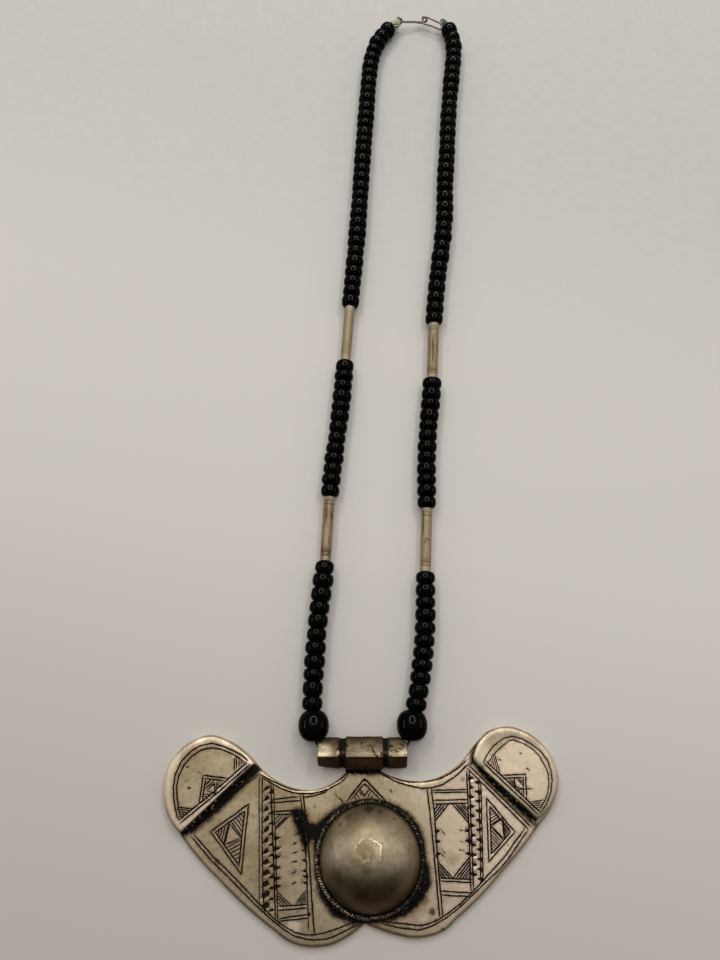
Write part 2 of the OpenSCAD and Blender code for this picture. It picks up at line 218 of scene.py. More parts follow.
def engrave_plate():
    """The strokes on the plate's two wings and round its edge."""
    cut = Engraving()
    # Border lines that follow the edge.
    cut.line([(15.4, 18.6), (18.6, 19.0), (21.3, 19.7), (23.9, 20.9), (26.3, 22.5), (28.3, 24.3)])
    cut.line([(4.8, 20.7), (9.0, 18.8), (12.4, 17.8), (15.8, 17.1), (18.6, 17.2), (21.6, 18.1), (24.6, 19.8),
              (26.7, 21.5), (28.6, 23.1)])
    cut.line([(6.3, 20.6), (9.4, 19.3), (12.4, 18.7), (15.4, 18.6)])
    cut.line([(-28.0, 20.7), (-25.4, 19.3), (-22, 17.8), (-19.2, 16.9), (-17.2, 16.6), (-13.9, 16.6),
              (-11.2, 17.1), (-8.6, 17.9), (-5.9, 19.5), (-4.4, 20.8)])
    cut.line([(-27.2, 19.7), (-25.2, 18.6), (-22.1, 17.1), (-19.2, 16.1), (-17, 15.8), (-13.9, 15.8),
              (-11.2, 16.3), (-8.6, 17.2), (-5.9, 18.7), (-4.0, 20.4)])
    cut.line([(-15.9, 14.9), (-13.2, 15.2), (-10.2, 16.1), (-9.3, 16.9)])
    cut.line([(-45.4, 5.0), (-39.9, -0.6), (-34.3, -5.3), (-30.1, -9.1), (-27.1, -11.6), (-24.9, -13.4),
              (-22.4, -15.3), (-20, -16.9), (-17.4, -18.2), (-14.7, -18.9), (-12.3, -19), (-10, -18.9),
              (-7.9, -18.4), (-5.5, -17.4), (-3.2, -16.3), (-0.4, -15.2)])
    cut.line([(-44.6, 5.3), (-39.2, 0.1), (-33.6, -4.6), (-29.3, -8.6), (-26.8, -10.9), (-25.2, -12.3),
              (-22.7, -14.4), (-20.1, -16), (-17.6, -17.3), (-15, -17.9), (-12.4, -17.9), (-9.8, -17.4),
              (-7.1, -16.6), (-4.5, -15.7), (-1.4, -14.7)])
    cut.line([(43.9, 6.8), (41.5, 3.9), (38, -0.5), (34.4, -3.9), (30.5, -7), (26.6, -10.3), (23.7, -12.5),
              (20.9, -14.3), (17.7, -15.9), (14.6, -16.8), (9.5, -16.3), (5.3, -15.4)])
    cut.line([(42.8, 6.8), (40.2, 3.9), (37.1, 0.1), (33.8, -3), (31.2, -5.6), (28.6, -7.9), (25, -10.9),
              (22.2, -12.8), (19.3, -14.5), (16.8, -15.4), (14.7, -15.8), (9.5, -15.2), (4.8, -14.9)])
    # Left wing: the stamped band, then the triangle.
    cut.line([(-28.1, 19.8), (-27.5, 4), (-26.9, -11.5)], 0.15, 0.14)
    cut.line([(-27.3, 19.8), (-26.7, 4), (-26.1, -7), (-25.5, -13.2)], 0.18)
    cut.line([(-24.9, 18.3), (-23.9, 4), (-22.6, -14.3)])
    cut.line([(-24.2, 17.8), (-23.2, 4), (-22.0, -14.6)], 0.18)
    for i in range(12):
        y = 17.1 - 2.58 * i
        cut.leaf(-27.05 + 0.055 * i, y - 0.85, 1.35, 1.1, 0.48 + 0.03 * i)
        cut.stamp(-24.5 + 0.085 * i, y - 0.9, -1.15, -0.35, 0.5)
    cut.line([(-45.7, 6.2), (-40.4, 11.4), (-34.1, 16.2), (-28.1, 20.7)], 0.17)
    cut.triangle((-30.7, 13.2), (-40.5, 6.4), (-31.9, -3.9), 0.85)
    cut.lines([(-36.7, 3.2), (-35.5, 8.3)], [(-35.5, 8.3), (-32.4, 4.9)], [(-32.4, 4.9), (-36.7, 3.2)], half=HATCH)
    cut.hatch((-31.8, 11.2), (-35.2, 8.9), (-32.3, 5.2), 5)
    cut.hatch((-39.2, 6.4), (-36.9, 3.6), (-35.8, 8.5), 4)
    cut.hatch((-32.5, -1.9), (-36.1, 2.6), (-32.5, 4.4), 6)
    # Left panel.
    cut.lines([(-24.1, 14.3), (-17.5, 15.0)], [(-23.9, 13.5), (-16.6, 14.1)], [(-23.9, 11.3), (-16.5, 11.6)],
              [(-23.6, 10.6), (-18.4, 10.7)], [(-22.2, -11.3), (-14.6, -10.9)], [(-22.1, -12.3), (-14.6, -11.7)],
              [(-21.9, -14.2), (-14.1, -13.2)], [(-21.9, -14.8), (-14.2, -14.0)])
    cut.line([(-16.9, 15.8), (-16.1, 10), (-15.0, 0), (-14.4, -9.8), (-14.0, -16.6)], 0.18)
    cut.line([(-16.1, 15.7), (-15.0, 8), (-14.1, 0), (-13.3, -9.8), (-12.5, -17.7)])
    cut.line([(-19.5, 10.5), (-23.3, 6.9)])
    cut.hatch((-23.5, 10.4), (-20.3, 10.5), (-23.3, 7.4), 3, 0.2)
    cut.hatch((-22.3, -11.1), (-22.6, -7.7), (-18.9, -10.9), 4, 0.2)
    cut.hatch((-14.6, -10.8), (-17.4, -10.6), (-14.9, -7.7), 5)
    for y in (4.7, 2.2, 0.2, -2.4, -4.9, -6.8):
        cut.stamp(-23.2 + (4.7 - y) * 0.05, y, 1.5, 0.3, 0.62)
    for y in (1.7, -0.6, -3.1, -4.4, -5.9):
        cut.stamp(-15.2 + (1.7 - y) * 0.06, y, -1.25, 0.15, 0.5)
    for x, y in ((-17.8, 5.7), (-18.4, 3.4), (-18.3, 1.3), (-18.4, -0.9), (-18.4, -3.5), (-18.3, -6)):
        cut.stamp(x + 0.45, y + 0.12, -0.95, -0.28, 0.24, 0.2)
    # Middle: the triangle over the dome, and two ticks.
    cut.line([(-4.2, 14.0), (-1.8, 17), (0.5, 19.6), (3.2, 16.8), (6.0, 14.0)], 0.27)
    cut.line([(-2.9, 14.6), (-1.1, 16.7), (0.5, 18.4), (2.6, 16.2), (4.6, 14.5)], 0.2)
    cut.line([(-0.9, 17.0), (0.4, 15.1), (1.8, 17.0)], 0.2)
    for x, y, dx in ((-1.7, 15.9, 0.8), (-2.2, 15.2, 0.6), (-1.1, 16.5, 0.9), (2.0, 16.2, -0.7),
                     (2.6, 15.5, -0.6)):
        cut.line([(x, y), (x + dx, y - 1.4)], HATCH)
    cut.line([(-7.3, 15.6), (-6.7, 14.7)], 0.2)
    cut.line([(-6.2, 14.6), (-5.3, 13.5)], 0.26)
    cut.line([(7.4, 16.6), (7.7, 16.1)], 0.26)
    # Right panel.
    cut.line([(17.3, 16.9), (17.9, 11.1), (18.6, 3.5), (19.0, -3), (19.8, -13.8)])
    cut.line([(18.4, 17), (19.1, 11.1), (19.5, 3.5), (19.8, -3), (20.6, -13.6)])
    for rise, low, high in ((16.6, 19.0, 28.1), (16.0, 19.1, 28.1), (14.1, 19.0, 28.2), (13.2, 19.1, 28.1)):
        cut.line([(low, rise), (high, rise + 0.2)])
    for rise, low, high in ((-4.7, 20.0, 28.6), (-5.4, 20.1, 28.7), (-7.8, 20.2, 28.2), (-8.7, 20.4, 28.0)):
        cut.line([(low, rise), (high, rise - 0.4)])
    cut.line([(28.2, 21.6), (28.2, 7), (28.1, -8.4)])
    cut.line([(28.9, 21.4), (28.8, 7), (28.8, -7.4)])
    cut.hatch((19.2, 13.0), (22.9, 13.1), (19.3, 9.0), 4, 0.27)
    cut.hatch((28.0, 13.0), (24.1, 13.1), (28.0, 8.8), 5, 0.26)
    cut.hatch((20.0, -4.6), (19.9, -1.1), (23.4, -4.7), 4, 0.27)
    cut.hatch((28.3, -4.9), (23.6, -4.8), (28.2, 0.4), 6, 0.26)
    for y in (6.5, 4.0, 1.0):
        cut.stamp(19.6, y, 1.1, 0.05, 0.62)
        cut.stamp(28.1, y + 0.1, -1.3, 0, 0.62)
    cut.lines([(20.9, 6.8), (21.6, 5.9)], [(21.0, 2.0), (21.6, 1.3)], [(20.4, 1.2), (21.3, 0.4)], half=0.2)
    for y in (6.7, 3.9, 1.9):
        cut.line([(25.8, y + 0.1), (26.5, y)], 0.18)
    # Right wing: the zigzag band, then the triangle.
    for i in range(11):
        y = 19.7 - 2.36 * i
        cut.stamp(28.95, y, 1.3, -0.15, 0.62)
        cut.stamp(31.25 - 0.02 * i, y - 1.15, -1.3, 0.15, 0.6)
    cut.lines([(31.3, 19.6), (31.1, 7), (30.8, -5.6)], [(31.9, 18.9), (31.7, 7), (31.4, -5)], half=0.2)
    cut.lines([(28.4, 22.2), (36.4, 14.4), (43.9, 7.1)], [(29.0, 22.8), (36.9, 15.2), (44.6, 7.7)])
    cut.triangle((33.1, -0.9), (40.4, 6.3), (33.2, 14.8), 0.8)
    cut.lines([(34.3, 7.8), (37.2, 9.6)], [(37.2, 9.6), (37.4, 4.5)], [(37.4, 4.5), (34.3, 7.8)], half=HATCH)
    cut.hatch((34.1, 12.8), (34.2, 8.1), (37.0, 9.8), 6)
    cut.hatch((39.3, 6.4), (37.6, 9.3), (37.6, 4.6), 4)
    cut.hatch((34.2, 1.2), (34.2, 7.5), (37.1, 4.4), 7)
    cut.line([(20.2, -16.3), (20.9, -17.1)], 0.3)
    return cut.strokes


def engrave_left_cap():
    """The strokes on the left tip cap."""
    cut = Engraving()
    cut.line([(-49.0, 9.4), (-49.9, 11.6), (-50.6, 14.6), (-51, 17.5), (-50.6, 20.8), (-49.2, 24.0),
              (-46.8, 26.6), (-44.3, 28.1), (-41.3, 28.6), (-38.4, 28.0), (-35.4, 26.8), (-33.0, 25.6),
              (-31.2, 24.2)])
    cut.line([(-48.6, 10.4), (-49.2, 12.4), (-49.8, 15), (-50.1, 17.5), (-49.7, 20.2), (-48.5, 23.0),
              (-46.4, 25.4), (-43.9, 27), (-41.0, 27.5), (-38.3, 27), (-35.6, 25.9), (-33.6, 24.8),
              (-32.0, 23.7)])
    cut.lines([(-48.3, 8.8), (-39.6, 15.6), (-30.7, 23.2)], [(-48.9, 9.4), (-40.1, 16.3), (-31.4, 23.8)])
    for i, (x, y) in enumerate(((-34.9, 24.8), (-34.3, 24.9), (-33.6, 24.6), (-33.0, 24.4), (-32.4, 24.1))):
        cut.line([(x, y), (x + 0.1, y - 3.3 + 0.6 * i)], 0.2 if i < 2 else HATCH)
    cut.line([(-43.1, 20.5), (-36.6, 19.7)], 0.27)
    cut.lines([(-42.6, 19.7), (-37.5, 19.1)], [(-43.1, 20.5), (-43.8, 13.4)], [(-42.4, 19.7), (-43.0, 14.2)])
    cut.line([(-42.3, 18.2), (-40.9, 19.4)], 0.3)
    cut.line([(-42.3, 17.2), (-39.9, 19.3)], HATCH)
    cut.line([(-41.8, 16.8), (-39.9, 18.6), (-39.7, 15.9), (-41.8, 16.6)], HATCH)
    for x in (-39.3, -38.7, -38.1):
        cut.line([(x, 19.1), (x - 0.1, 16.6 + (x + 39.3) * 1.1)], 0.2)
    for i in range(4):
        cut.line([(-42.6 - 0.1 * i, 15.8 - 0.55 * i), (-40.1 - 0.7 * i, 15.6 - 0.5 * i)], 0.2)
    for i in range(5):
        f = i / 5
        cut.line([(-49.4 + 0.1 * i, 12.5 - 0.55 * i), (-45.3 - 3.2 * f, 12.2 - 0.5 * i)], 0.2)
    for x, y in ((-44.0, 21.2), (-46.2, 17.3), (-47.1, 22.6)):
        cut.stamp(x - 0.2, y, 0.4, 0, 0.2, 0.1)
    return cut.strokes


def engrave_right_cap():
    """The strokes on the right tip cap."""
    cut = Engraving()
    cut.line([(32.7, 23.8), (34.0, 26.0), (35.5, 27.9), (38.6, 30.0), (40.9, 30.5), (43.5, 29.8), (46, 28.4),
              (48.4, 26.6), (50, 24.4), (50.8, 21.8), (51, 19.2), (50.4, 16.3), (49.2, 13.7), (47.4, 11.2)],
             0.19)
    cut.line([(33.6, 23.4), (35.0, 25.2), (36.8, 27.0), (39.9, 29.3), (41.2, 29.5), (43.7, 28.6), (46, 27.4),
              (47.8, 25.6), (49.2, 23.2), (50, 20.8), (50.1, 18.6), (49.6, 16.2), (48.5, 13.9), (46.9, 11.8)],
             0.17)
    cut.lines([(32.8, 23.5), (39.8, 17.0), (46.7, 10.7)], [(33.5, 24.0), (40.4, 17.6), (47.2, 11.3)])
    cut.hatch((34.2, 23.8), (35.9, 25.9), (36.9, 21.2), 4, 0.17)
    cut.line([(37.7, 20.5), (43.9, 20.7)], 0.22)
    cut.line([(38.4, 19.8), (43.2, 20.0)], 0.2)
    cut.line([(43.9, 20.7), (43.8, 14.6)], 0.22)
    cut.line([(43.2, 20.0), (43.1, 15.2)], 0.2)
    cut.line([(40.9, 19.8), (40.8, 17.6), (42.9, 17.2)], HATCH)
    for i in range(4):
        cut.line([(39.3 + 0.45 * i, 19.7), (39.5 + 0.42 * i, 18.4 - 0.35 * i)], 0.22)
    for i in range(4):
        cut.line([(41.3 + 0.5 * i, 19.9), (43.1, 17.9 + 0.5 * i)], 0.18)
    for i in range(3):
        cut.line([(41.3 + 0.6 * i, 17.0 - 0.2 * i), (41.6 + 0.6 * i, 16.3 - 0.5 * i)], 0.24)
    cut.line([(40.9, 16.9), (45.5, 17.1)], 0.15)
    for i in range(5):
        cut.line([(44.9 + 0.4 * i, 13.8 - 0.45 * i), (48.2 - 0.3 * i, 14.3 - 0.6 * i)], HATCH)
    for x, y in ((44.9, 21.8), (37.4, 24.2), (43.0, 25.9)):
        cut.stamp(x - 0.25, y + 0.2, 0.5, -0.3, 0.22, 0.12)
    return cut.strokes


# How far the soot of soldering spreads round the dome, from the dome's middle, at each angle counter-clockwise
# from the right, and how wide its row of places is there.
RING_SPREAD = [(0, 14.8), (15, 15.0), (28, 15.4), (45, 15.2), (60, 14.8), (75, 14.5), (95, 14.5), (110, 14.7),
               (125, 15.3), (140, 15.9), (152, 16.4), (165, 15.7), (180, 14.8), (195, 15.0), (215, 16.1),
               (235, 16.7), (255, 16.1), (275, 15.5), (292, 15.9), (310, 16.7), (325, 17.0), (338, 17.2),
               (350, 16.0), (360, 14.9)]
RING_SOOT = 1.3
# Where soldering has left the plate black: rows of x, y and how far the black reaches from there. They lie along
# the left cap, in two rows along the right one, over the left panel, from there to the dome, at the bail's neck
# and on both sides of it, and round the dome.
SOOT = [
    [(-28.6, 22.2, 1.0), (-31.5, 20.0, 1.4), (-35.5, 16.4, 1.7), (-38.6, 13.5, 1.7), (-41.5, 10.8, 1.5),
     (-44.5, 8.1, 1.3), (-47.6, 5.9, 0.9)],
    [(29.5, 23.6, 0.5), (29.9, 25.0, 0.6), (30.4, 26.9, 0.6), (31.4, 29.0, 0.6), (32.9, 30.8, 0.5),
     (34.6, 32.0, 0.3)],
    [(30.2, 25.0, 0.3), (31.0, 22.7, 0.6), (33.0, 20.4, 0.85), (36.7, 17.1, 0.95), (40.7, 13.4, 1.0),
     (43.8, 10.5, 0.95), (46.0, 8.1, 0.6)],
    [(-19.2, 11.4, 0.35), (-17.9, 11.1, 1.3), (-17.0, 10.2, 2.0), (-16.3, 8.6, 2.0), (-15.5, 6.6, 2.0),
     (-15.2, 4.8, 1.5), (-15.2, 3.4, 0.9), (-15.3, 2.3, 0.5)],
    [(-15.0, 6.9, 1.5), (-13.2, 6.6, 2.0)],
    [(-4.6, 21.6, 0.7), (-2, 21.7, 1.1), (2, 21.7, 1.2), (4.9, 21.6, 0.8)],
    [(-6.6, 20.4, 0.3), (-4.4, 21.3, 0.7)],
    [(6.8, 20.6, 0.3), (4.6, 21.3, 0.7)],
    [(DOME.x + (r - RING_SOOT) * math.cos(math.radians(a)), (r - RING_SOOT) * math.sin(math.radians(a)), RING_SOOT)
     for a, r in RING_SPREAD]]
# The pieces keep their soot as a number that is 0.5 at its edge, and rises by 1 over this many millimetres.
SOOT_SPAN = 4.0


def soot_reach(points):
    """How far inside the black each point lies, in millimetres: less than nothing outside it."""
    best = np.full(len(points), -np.inf)
    for rows in SOOT:
        path = np.array([row[:2] for row in rows])
        wide = np.array([row[2] for row in rows])
        d, t = segment_distance(points, path[:-1], path[1:])
        best = np.maximum(best, (wide[:-1] + (wide[1:] - wide[:-1]) * t - d).max(1))
    return best


# ---------------------------------------------------------------- meshes

def new_object(name, verts, faces):
    """A smooth-shaded mesh object from points in millimetres."""
    mesh = bpy.data.meshes.new(name)
    mesh.from_pydata([Vector(v) * MM for v in verts], [], faces)
    mesh.update()
    for p in mesh.polygons:
        p.use_smooth = True
    return put(name, mesh)


def paint(piece, label, values):
    """Keeps a number at each point of a piece, for its finish to read."""
    held = piece.data.attributes.new(label, "FLOAT", "POINT")
    held.data.foreach_set("value", np.array(values, np.float32))


def face_outwards(piece):
    """Turns every face of a closed piece to the outside."""
    fix = bmesh.new()
    fix.from_mesh(piece.data)
    bmesh.ops.recalc_face_normals(fix, faces=fix.faces)
    fix.to_mesh(piece.data)
    fix.free()


def quads(rows, around, joined=False):
    """Four-sided faces between rows of points that each go round. The last row meets the first where joined."""
    faces = []
    for i in range(rows if joined else rows - 1):
        here, there = i * around, (i + 1) % rows * around
        for k in range(around):
            j = (k + 1) % around
            faces.append((here + k, here + j, there + j, there + k))
    return faces


def flipped(face):
    """The same face seen from its other side, from the same first corner."""
    return (face[0], *reversed(face[1:]))


def segment_distance(points, a, b):
    """Distance from each point to each segment, and where along the segment, as two arrays."""
    ab = b - a
    t = np.einsum("ijk,jk->ij", points[:, None, :] - a[None], ab) / np.maximum((ab * ab).sum(1), 1e-12)
    t = np.clip(t, 0, 1)
    near = a[None] + t[..., None] * ab[None]
    return np.sqrt(((points[:, None, :] - near) ** 2).sum(2)), t


def path_distance(points, path):
    """Distance from each point to an open row of points."""
    return segment_distance(points, path[:-1], path[1:])[0].min(1)


def edge_distance(points, loop):
    """Distance from each point to a closed loop, worked out for a few thousand points at a time."""
    parts = np.array_split(points, max(1, len(points) // 2000))
    return np.concatenate([segment_distance(part, loop, np.roll(loop, -1, 0))[0].min(1) for part in parts])


def inside_loop(points, ring):
    """Which points lie inside a closed ring, by counting crossings."""
    x, y = points[:, 0], points[:, 1]
    inside = np.zeros(len(points), bool)
    for (ax, ay), (bx, by) in zip(ring, np.roll(ring, -1, 0)):
        crosses = (ay > y) != (by > y)
        with np.errstate(divide="ignore", invalid="ignore"):
            at = (bx - ax) * (y - ay) / (by - ay) + ax
        inside ^= crosses & (x < at)
    return inside


# How far the tarnish creeps out from a cut, and how far round a stroke's points it is worked out.
TARNISH_REACH = 1.0
STROKE_MARGIN = 1.6


def cut_depth(points, strokes):
    """How deep the engraving is at each point, a V across each stroke, and how near a stroke is, from 0 to 1."""
    depth = np.zeros(len(points))
    close = np.zeros(len(points))
    for path, widths, deep in strokes:
        path = np.array([tuple(p) for p in path])
        lo, hi = path.min(0) - STROKE_MARGIN, path.max(0) + STROKE_MARGIN
        near = np.where(((points >= lo) & (points <= hi)).all(1))[0]
        if not len(near):
            continue
        d, t = segment_distance(points[near], path[:-1], path[1:])
        w0, w1 = np.array(widths[:-1]), np.array(widths[1:])
        width = w0 + (w1 - w0) * t
        full = max(widths)
        v = deep * np.minimum(1, width / full * 1.3) * np.clip(1 - d / np.maximum(width, 0.02), 0, 1)
        depth[near] = np.maximum(depth[near], v.max(1))
        close[near] = np.maximum(close[near], np.clip(1 - (d - width) / TARNISH_REACH, 0, 1).max(1))
    return depth, close


# ---------------------------------------------------------------- engraved sheet

# A sheet's front has rows of points across its rim, this far in from the edge, and along both sides and the middle
# of each stroke. Elsewhere they lie on a grid, a little shaken.
RIM_ROWS = (0.12, 0.3, 0.55, 0.8)
GRID = 0.9
GRID_SHAKE = 0.2
# The sheet is beaten, so it is uneven by this much over about a centimetre and over a few millimetres. It lies a
# little low, so that no bump stands over the solid.
BEATEN = 0.09
DENTED = 0.018
SHEET_LOW = 0.03
# The engraving fades out this near the edge.
PLAIN_EDGE = 0.5
# A cut this deep is full of tarnish.
FULL_CUT = 0.16


def inset_loop(loop, d):
    """The same closed row of points moved inwards by a distance, corner by corner."""
    out = []
    for i, p in enumerate(loop):
        u = (p - loop[i - 1]).normalized()
        v = (loop[(i + 1) % len(loop)] - p).normalized()
        nu, nv = Vector((-u.y, u.x)), Vector((-v.y, v.x))
        out.append(p + (nu + nv) * d / max(0.4, 1 + nu.dot(nv)))
    return out


def lay_out_front(loop, inset, strokes, rim_w, rng):
    """The front of a sheet before it is worked: its points, its faces, and the points of its edge in order."""
    chains = [(inset_loop(loop, inset + d), True) for d in (0, *RIM_ROWS, rim_w)]
    ring = np.array([tuple(p) for p in chains[0][0]])
    for path, widths, _ in strokes:
        left, right = [], []
        for i, p in enumerate(path):
            t = direction(path, i)
            side = Vector((-t.y, t.x)) * widths[i]
            left.append(p + side)
            right.append(p - side)
        ends = ([left[i], path[i], right[i]] for i in (0, -1))
        chains += [(points, False) for points in (left, right, *ends, path)]
    coords, links = [], []
    for points, closed in chains:
        first, last = len(coords), len(coords) + len(points) - 1
        coords += [Vector((p[0], p[1])) for p in points]
        links += [(i, i + 1) for i in range(first, last)] + [(last, first)] * closed
    lo, hi = ring.min(0), ring.max(0)
    grid = []
    y = lo[1]
    while y < hi[1]:
        x = lo[0]
        while x < hi[0]:
            grid.append((x + rng.uniform(-GRID_SHAKE, GRID_SHAKE), y + rng.uniform(-GRID_SHAKE, GRID_SHAKE)))
            x += GRID
        y += GRID
    grid = np.array(grid)
    coords += [Vector(p) for p in grid[edge_distance(grid, ring) > rim_w]]
    made = delaunay_2d_cdt(coords, links, [], 1, 1e-5)
    flat = np.array([tuple(p) for p in made[0]])
    # Faces outside the sheet, which the grid's outer points may bring, are dropped.
    middles = np.array([flat[list(f)].mean(0) for f in made[2]])
    return flat, [tuple(f) for f, keep in zip(made[2], inside_loop(middles, ring)) if keep], ring


def close_back(verts, faces, centre, levels):
    """Adds a side wall and a back to an open front, in rows that follow its boundary. Each row lies some way
    towards the centre from the boundary, at a height."""
    edges = dict.fromkeys((a, b) for f in faces for a, b in zip(f, f[1:] + f[:1]))
    border = [(a, b) for a, b in edges if (b, a) not in edges]
    follow = dict(border)
    around = [border[0][0]]
    while follow[around[-1]] != around[0]:
        around.append(follow[around[-1]])
    count = len(around)
    previous = around
    for d, level in levels:
        row = list(range(len(verts), len(verts) + count))
        for k in around:
            p = Vector(verts[k][:2])
            inward = (centre - p).normalized() * d
            verts.append((p.x + inward.x, p.y + inward.y, level))
        for i in range(count):
            j = (i + 1) % count
            faces.append((previous[j], previous[i], row[i], row[j]))
        previous = row
    faces.append(tuple(reversed(previous)))


def engraved_sheet(name, rows, bottom, top, strokes, seed, polished=2.0, inset=0.0, rim_w=RIM_W, rim_h=RIM_H,
                   last_rim_w=RIM_W, sooty=False):
    """A piece of sheet whose front is engraved. Its rim is worn round, last_rim_w wide along the outline's last
    side and rim_w elsewhere, and polished to some way in."""
    loop = outline(rows)
    flat, faces, ring = lay_out_front(loop, inset, strokes, rim_w, random.Random(seed))
    to_edge = edge_distance(flat, ring)
    closed = np.vstack([ring, ring[:1]])
    turn = len(ring) - max(1, int(math.dist(rows[-1][:2], rows[0][:2]) / SIDE_STEP))
    worn = np.clip(np.maximum(1 - path_distance(flat, closed[:turn + 1]) / rim_w,
                              1 - path_distance(flat, closed[turn:]) / last_rim_w), 0, 1)
    rim = rim_h * (1 - np.sqrt(np.maximum(0, 1 - (worn * 0.985) ** 2)))
    depth, close = cut_depth(flat, strokes)
    depth *= np.clip(to_edge / PLAIN_EDGE, 0, 1)
    beaten = np.array([noise.noise(Vector((x * 0.09, y * 0.09, seed))) * BEATEN
                       + noise.noise(Vector((x * 0.4, y * 0.4, seed + 9))) * DENTED for x, y in flat])
    heights = top - rim - depth + beaten * np.clip(to_edge / rim_w, 0, 1) - SHEET_LOW
    verts = [(x, y, h) for (x, y), h in zip(flat, heights)]
    close_back(verts, faces, sum(loop, Vector((0, 0))) / len(loop),
               [(0.0, top - rim_h - 0.12), (0.0, bottom + 0.15), (0.12, bottom)])
    sheet = new_object(name, verts, faces)
    black = np.clip(0.5 + soot_reach(flat) / SOOT_SPAN, 0, 1) * sooty
    for label, values, elsewhere in (("patina", np.clip(depth / FULL_CUT, 0, 1), 0), ("tarnish", close, 0),
                                     ("soot", black, 0), ("polish", np.clip(1 - to_edge / polished, 0, 1), 1)):
        full = np.full(len(verts), elsewhere, np.float32)
        full[:len(flat)] = values
        paint(sheet, label, full)
    sheet.data.set_sharp_from_angle(angle=math.radians(24))
    return sheet


# ---------------------------------------------------------------- finishes

def linear(code):
    """An sRGB hex colour as linear light."""
    parts = [int(code[i:i + 2], 16) / 255 for i in (1, 3, 5)]
    return (*[v / 12.92 if v <= 0.04045 else ((v + 0.055) / 1.055) ** 2.4 for v in parts], 1.0)


def add(tree, kind, inputs=None, out=0, **settings):
    """Adds a node with its settings. Each input is a value or the output that feeds it. Gives back one of the
    node's outputs, or the node where out is None."""
    made = tree.nodes.new(kind)
    for key, value in settings.items():
        setattr(made, key, value)
    for key, value in (inputs or {}).items():
        if isinstance(value, bpy.types.NodeSocket):
            tree.links.new(value, made.inputs[key])
        else:
            made.inputs[key].default_value = value
    return made if out is None else made.outputs[out]


# Settings of the nodes that map a range and mix colours. Their inputs go by number. To map: 0 the value, 1 and 2
# the range it comes from, 3 and 4 the range it goes to, 0 to 1 where not given. To mix: 0 how much, 6 and 7 what.
SMOOTH = {"interpolation_type": "SMOOTHSTEP"}
COLOUR = {"out": 2, "data_type": "RGBA"}


def new_finish(name):
    """A material with an empty tree, and the place on the piece in millimetres."""
    mat = bpy.data.materials.new(name)
    mat.use_nodes = True
    tree = mat.node_tree
    tree.nodes.clear()
    coord = add(tree, "ShaderNodeTexCoord", out="Object")
    return mat, tree, add(tree, "ShaderNodeMapping", {"Vector": coord, "Scale": (1000, 1000, 1000)})


# Clouds of tarnish that all the silver has: how many to a millimetre, where each begins and is full, how strong
# it is, and its colour.
CLOUDS = [(0.7, 0.5, 0.72, 0.46, "#76664a"), (0.16, 0.58, 0.78, 0.45, "#7d603e"),
          (2.4, 0.54, 0.68, 0.36, "#5b4c35")]
# Stains: place, size, how strong each is, and its colour. The plate has brown ones. The caps' pale ones lie along
# their rims on the clasp's side, which face the window: they are painted shade that dulls those rims.
STAINS_AND_RIM_SHADE = [(17.9, -12.6, 1.6, 1.0, 0.85, "#4d371f"), (-38.4, -0.9, 1.6, 1.0, 0.7, "#5a4326"),
          (18.8, -14.5, 1.6, 0.5, 0.8, "#4d371f"), (-5.5, 12.9, 1.6, 0.7, 0.6, "#4d371f"),
          (-10.5, -9.6, 1.6, 0.9, 0.5, "#4d371f"), (27.0, 19.5, 1.6, 0.8, 0.5, "#5a4326"),
          (-21.5, 4.0, 1.6, 1.0, 0.3, "#6d5836"), (23.5, 0.0, 1.6, 2.2, 0.35, "#a07b55"),
          (15.8, -9.8, 1.6, 1.6, 0.55, "#5f4730"), (14.9, -12.0, 1.6, 2.0, 0.4, "#a07b55"),
          (-27.2, 12.2, 1.6, 0.9, 0.5, "#4e4a30"), (-13.0, 12.6, 1.6, 0.5, 0.6, "#5a4326"),
          *[(x, y, 2.6, 3.6, 0.55, "#8a7b60") for x, y in (
              (41.2, 32.1), (36.1, 29.5), (47.1, 30.8), (-40.9, 30.3), (-48.0, 27.4), (-34.1, 28.2))]]
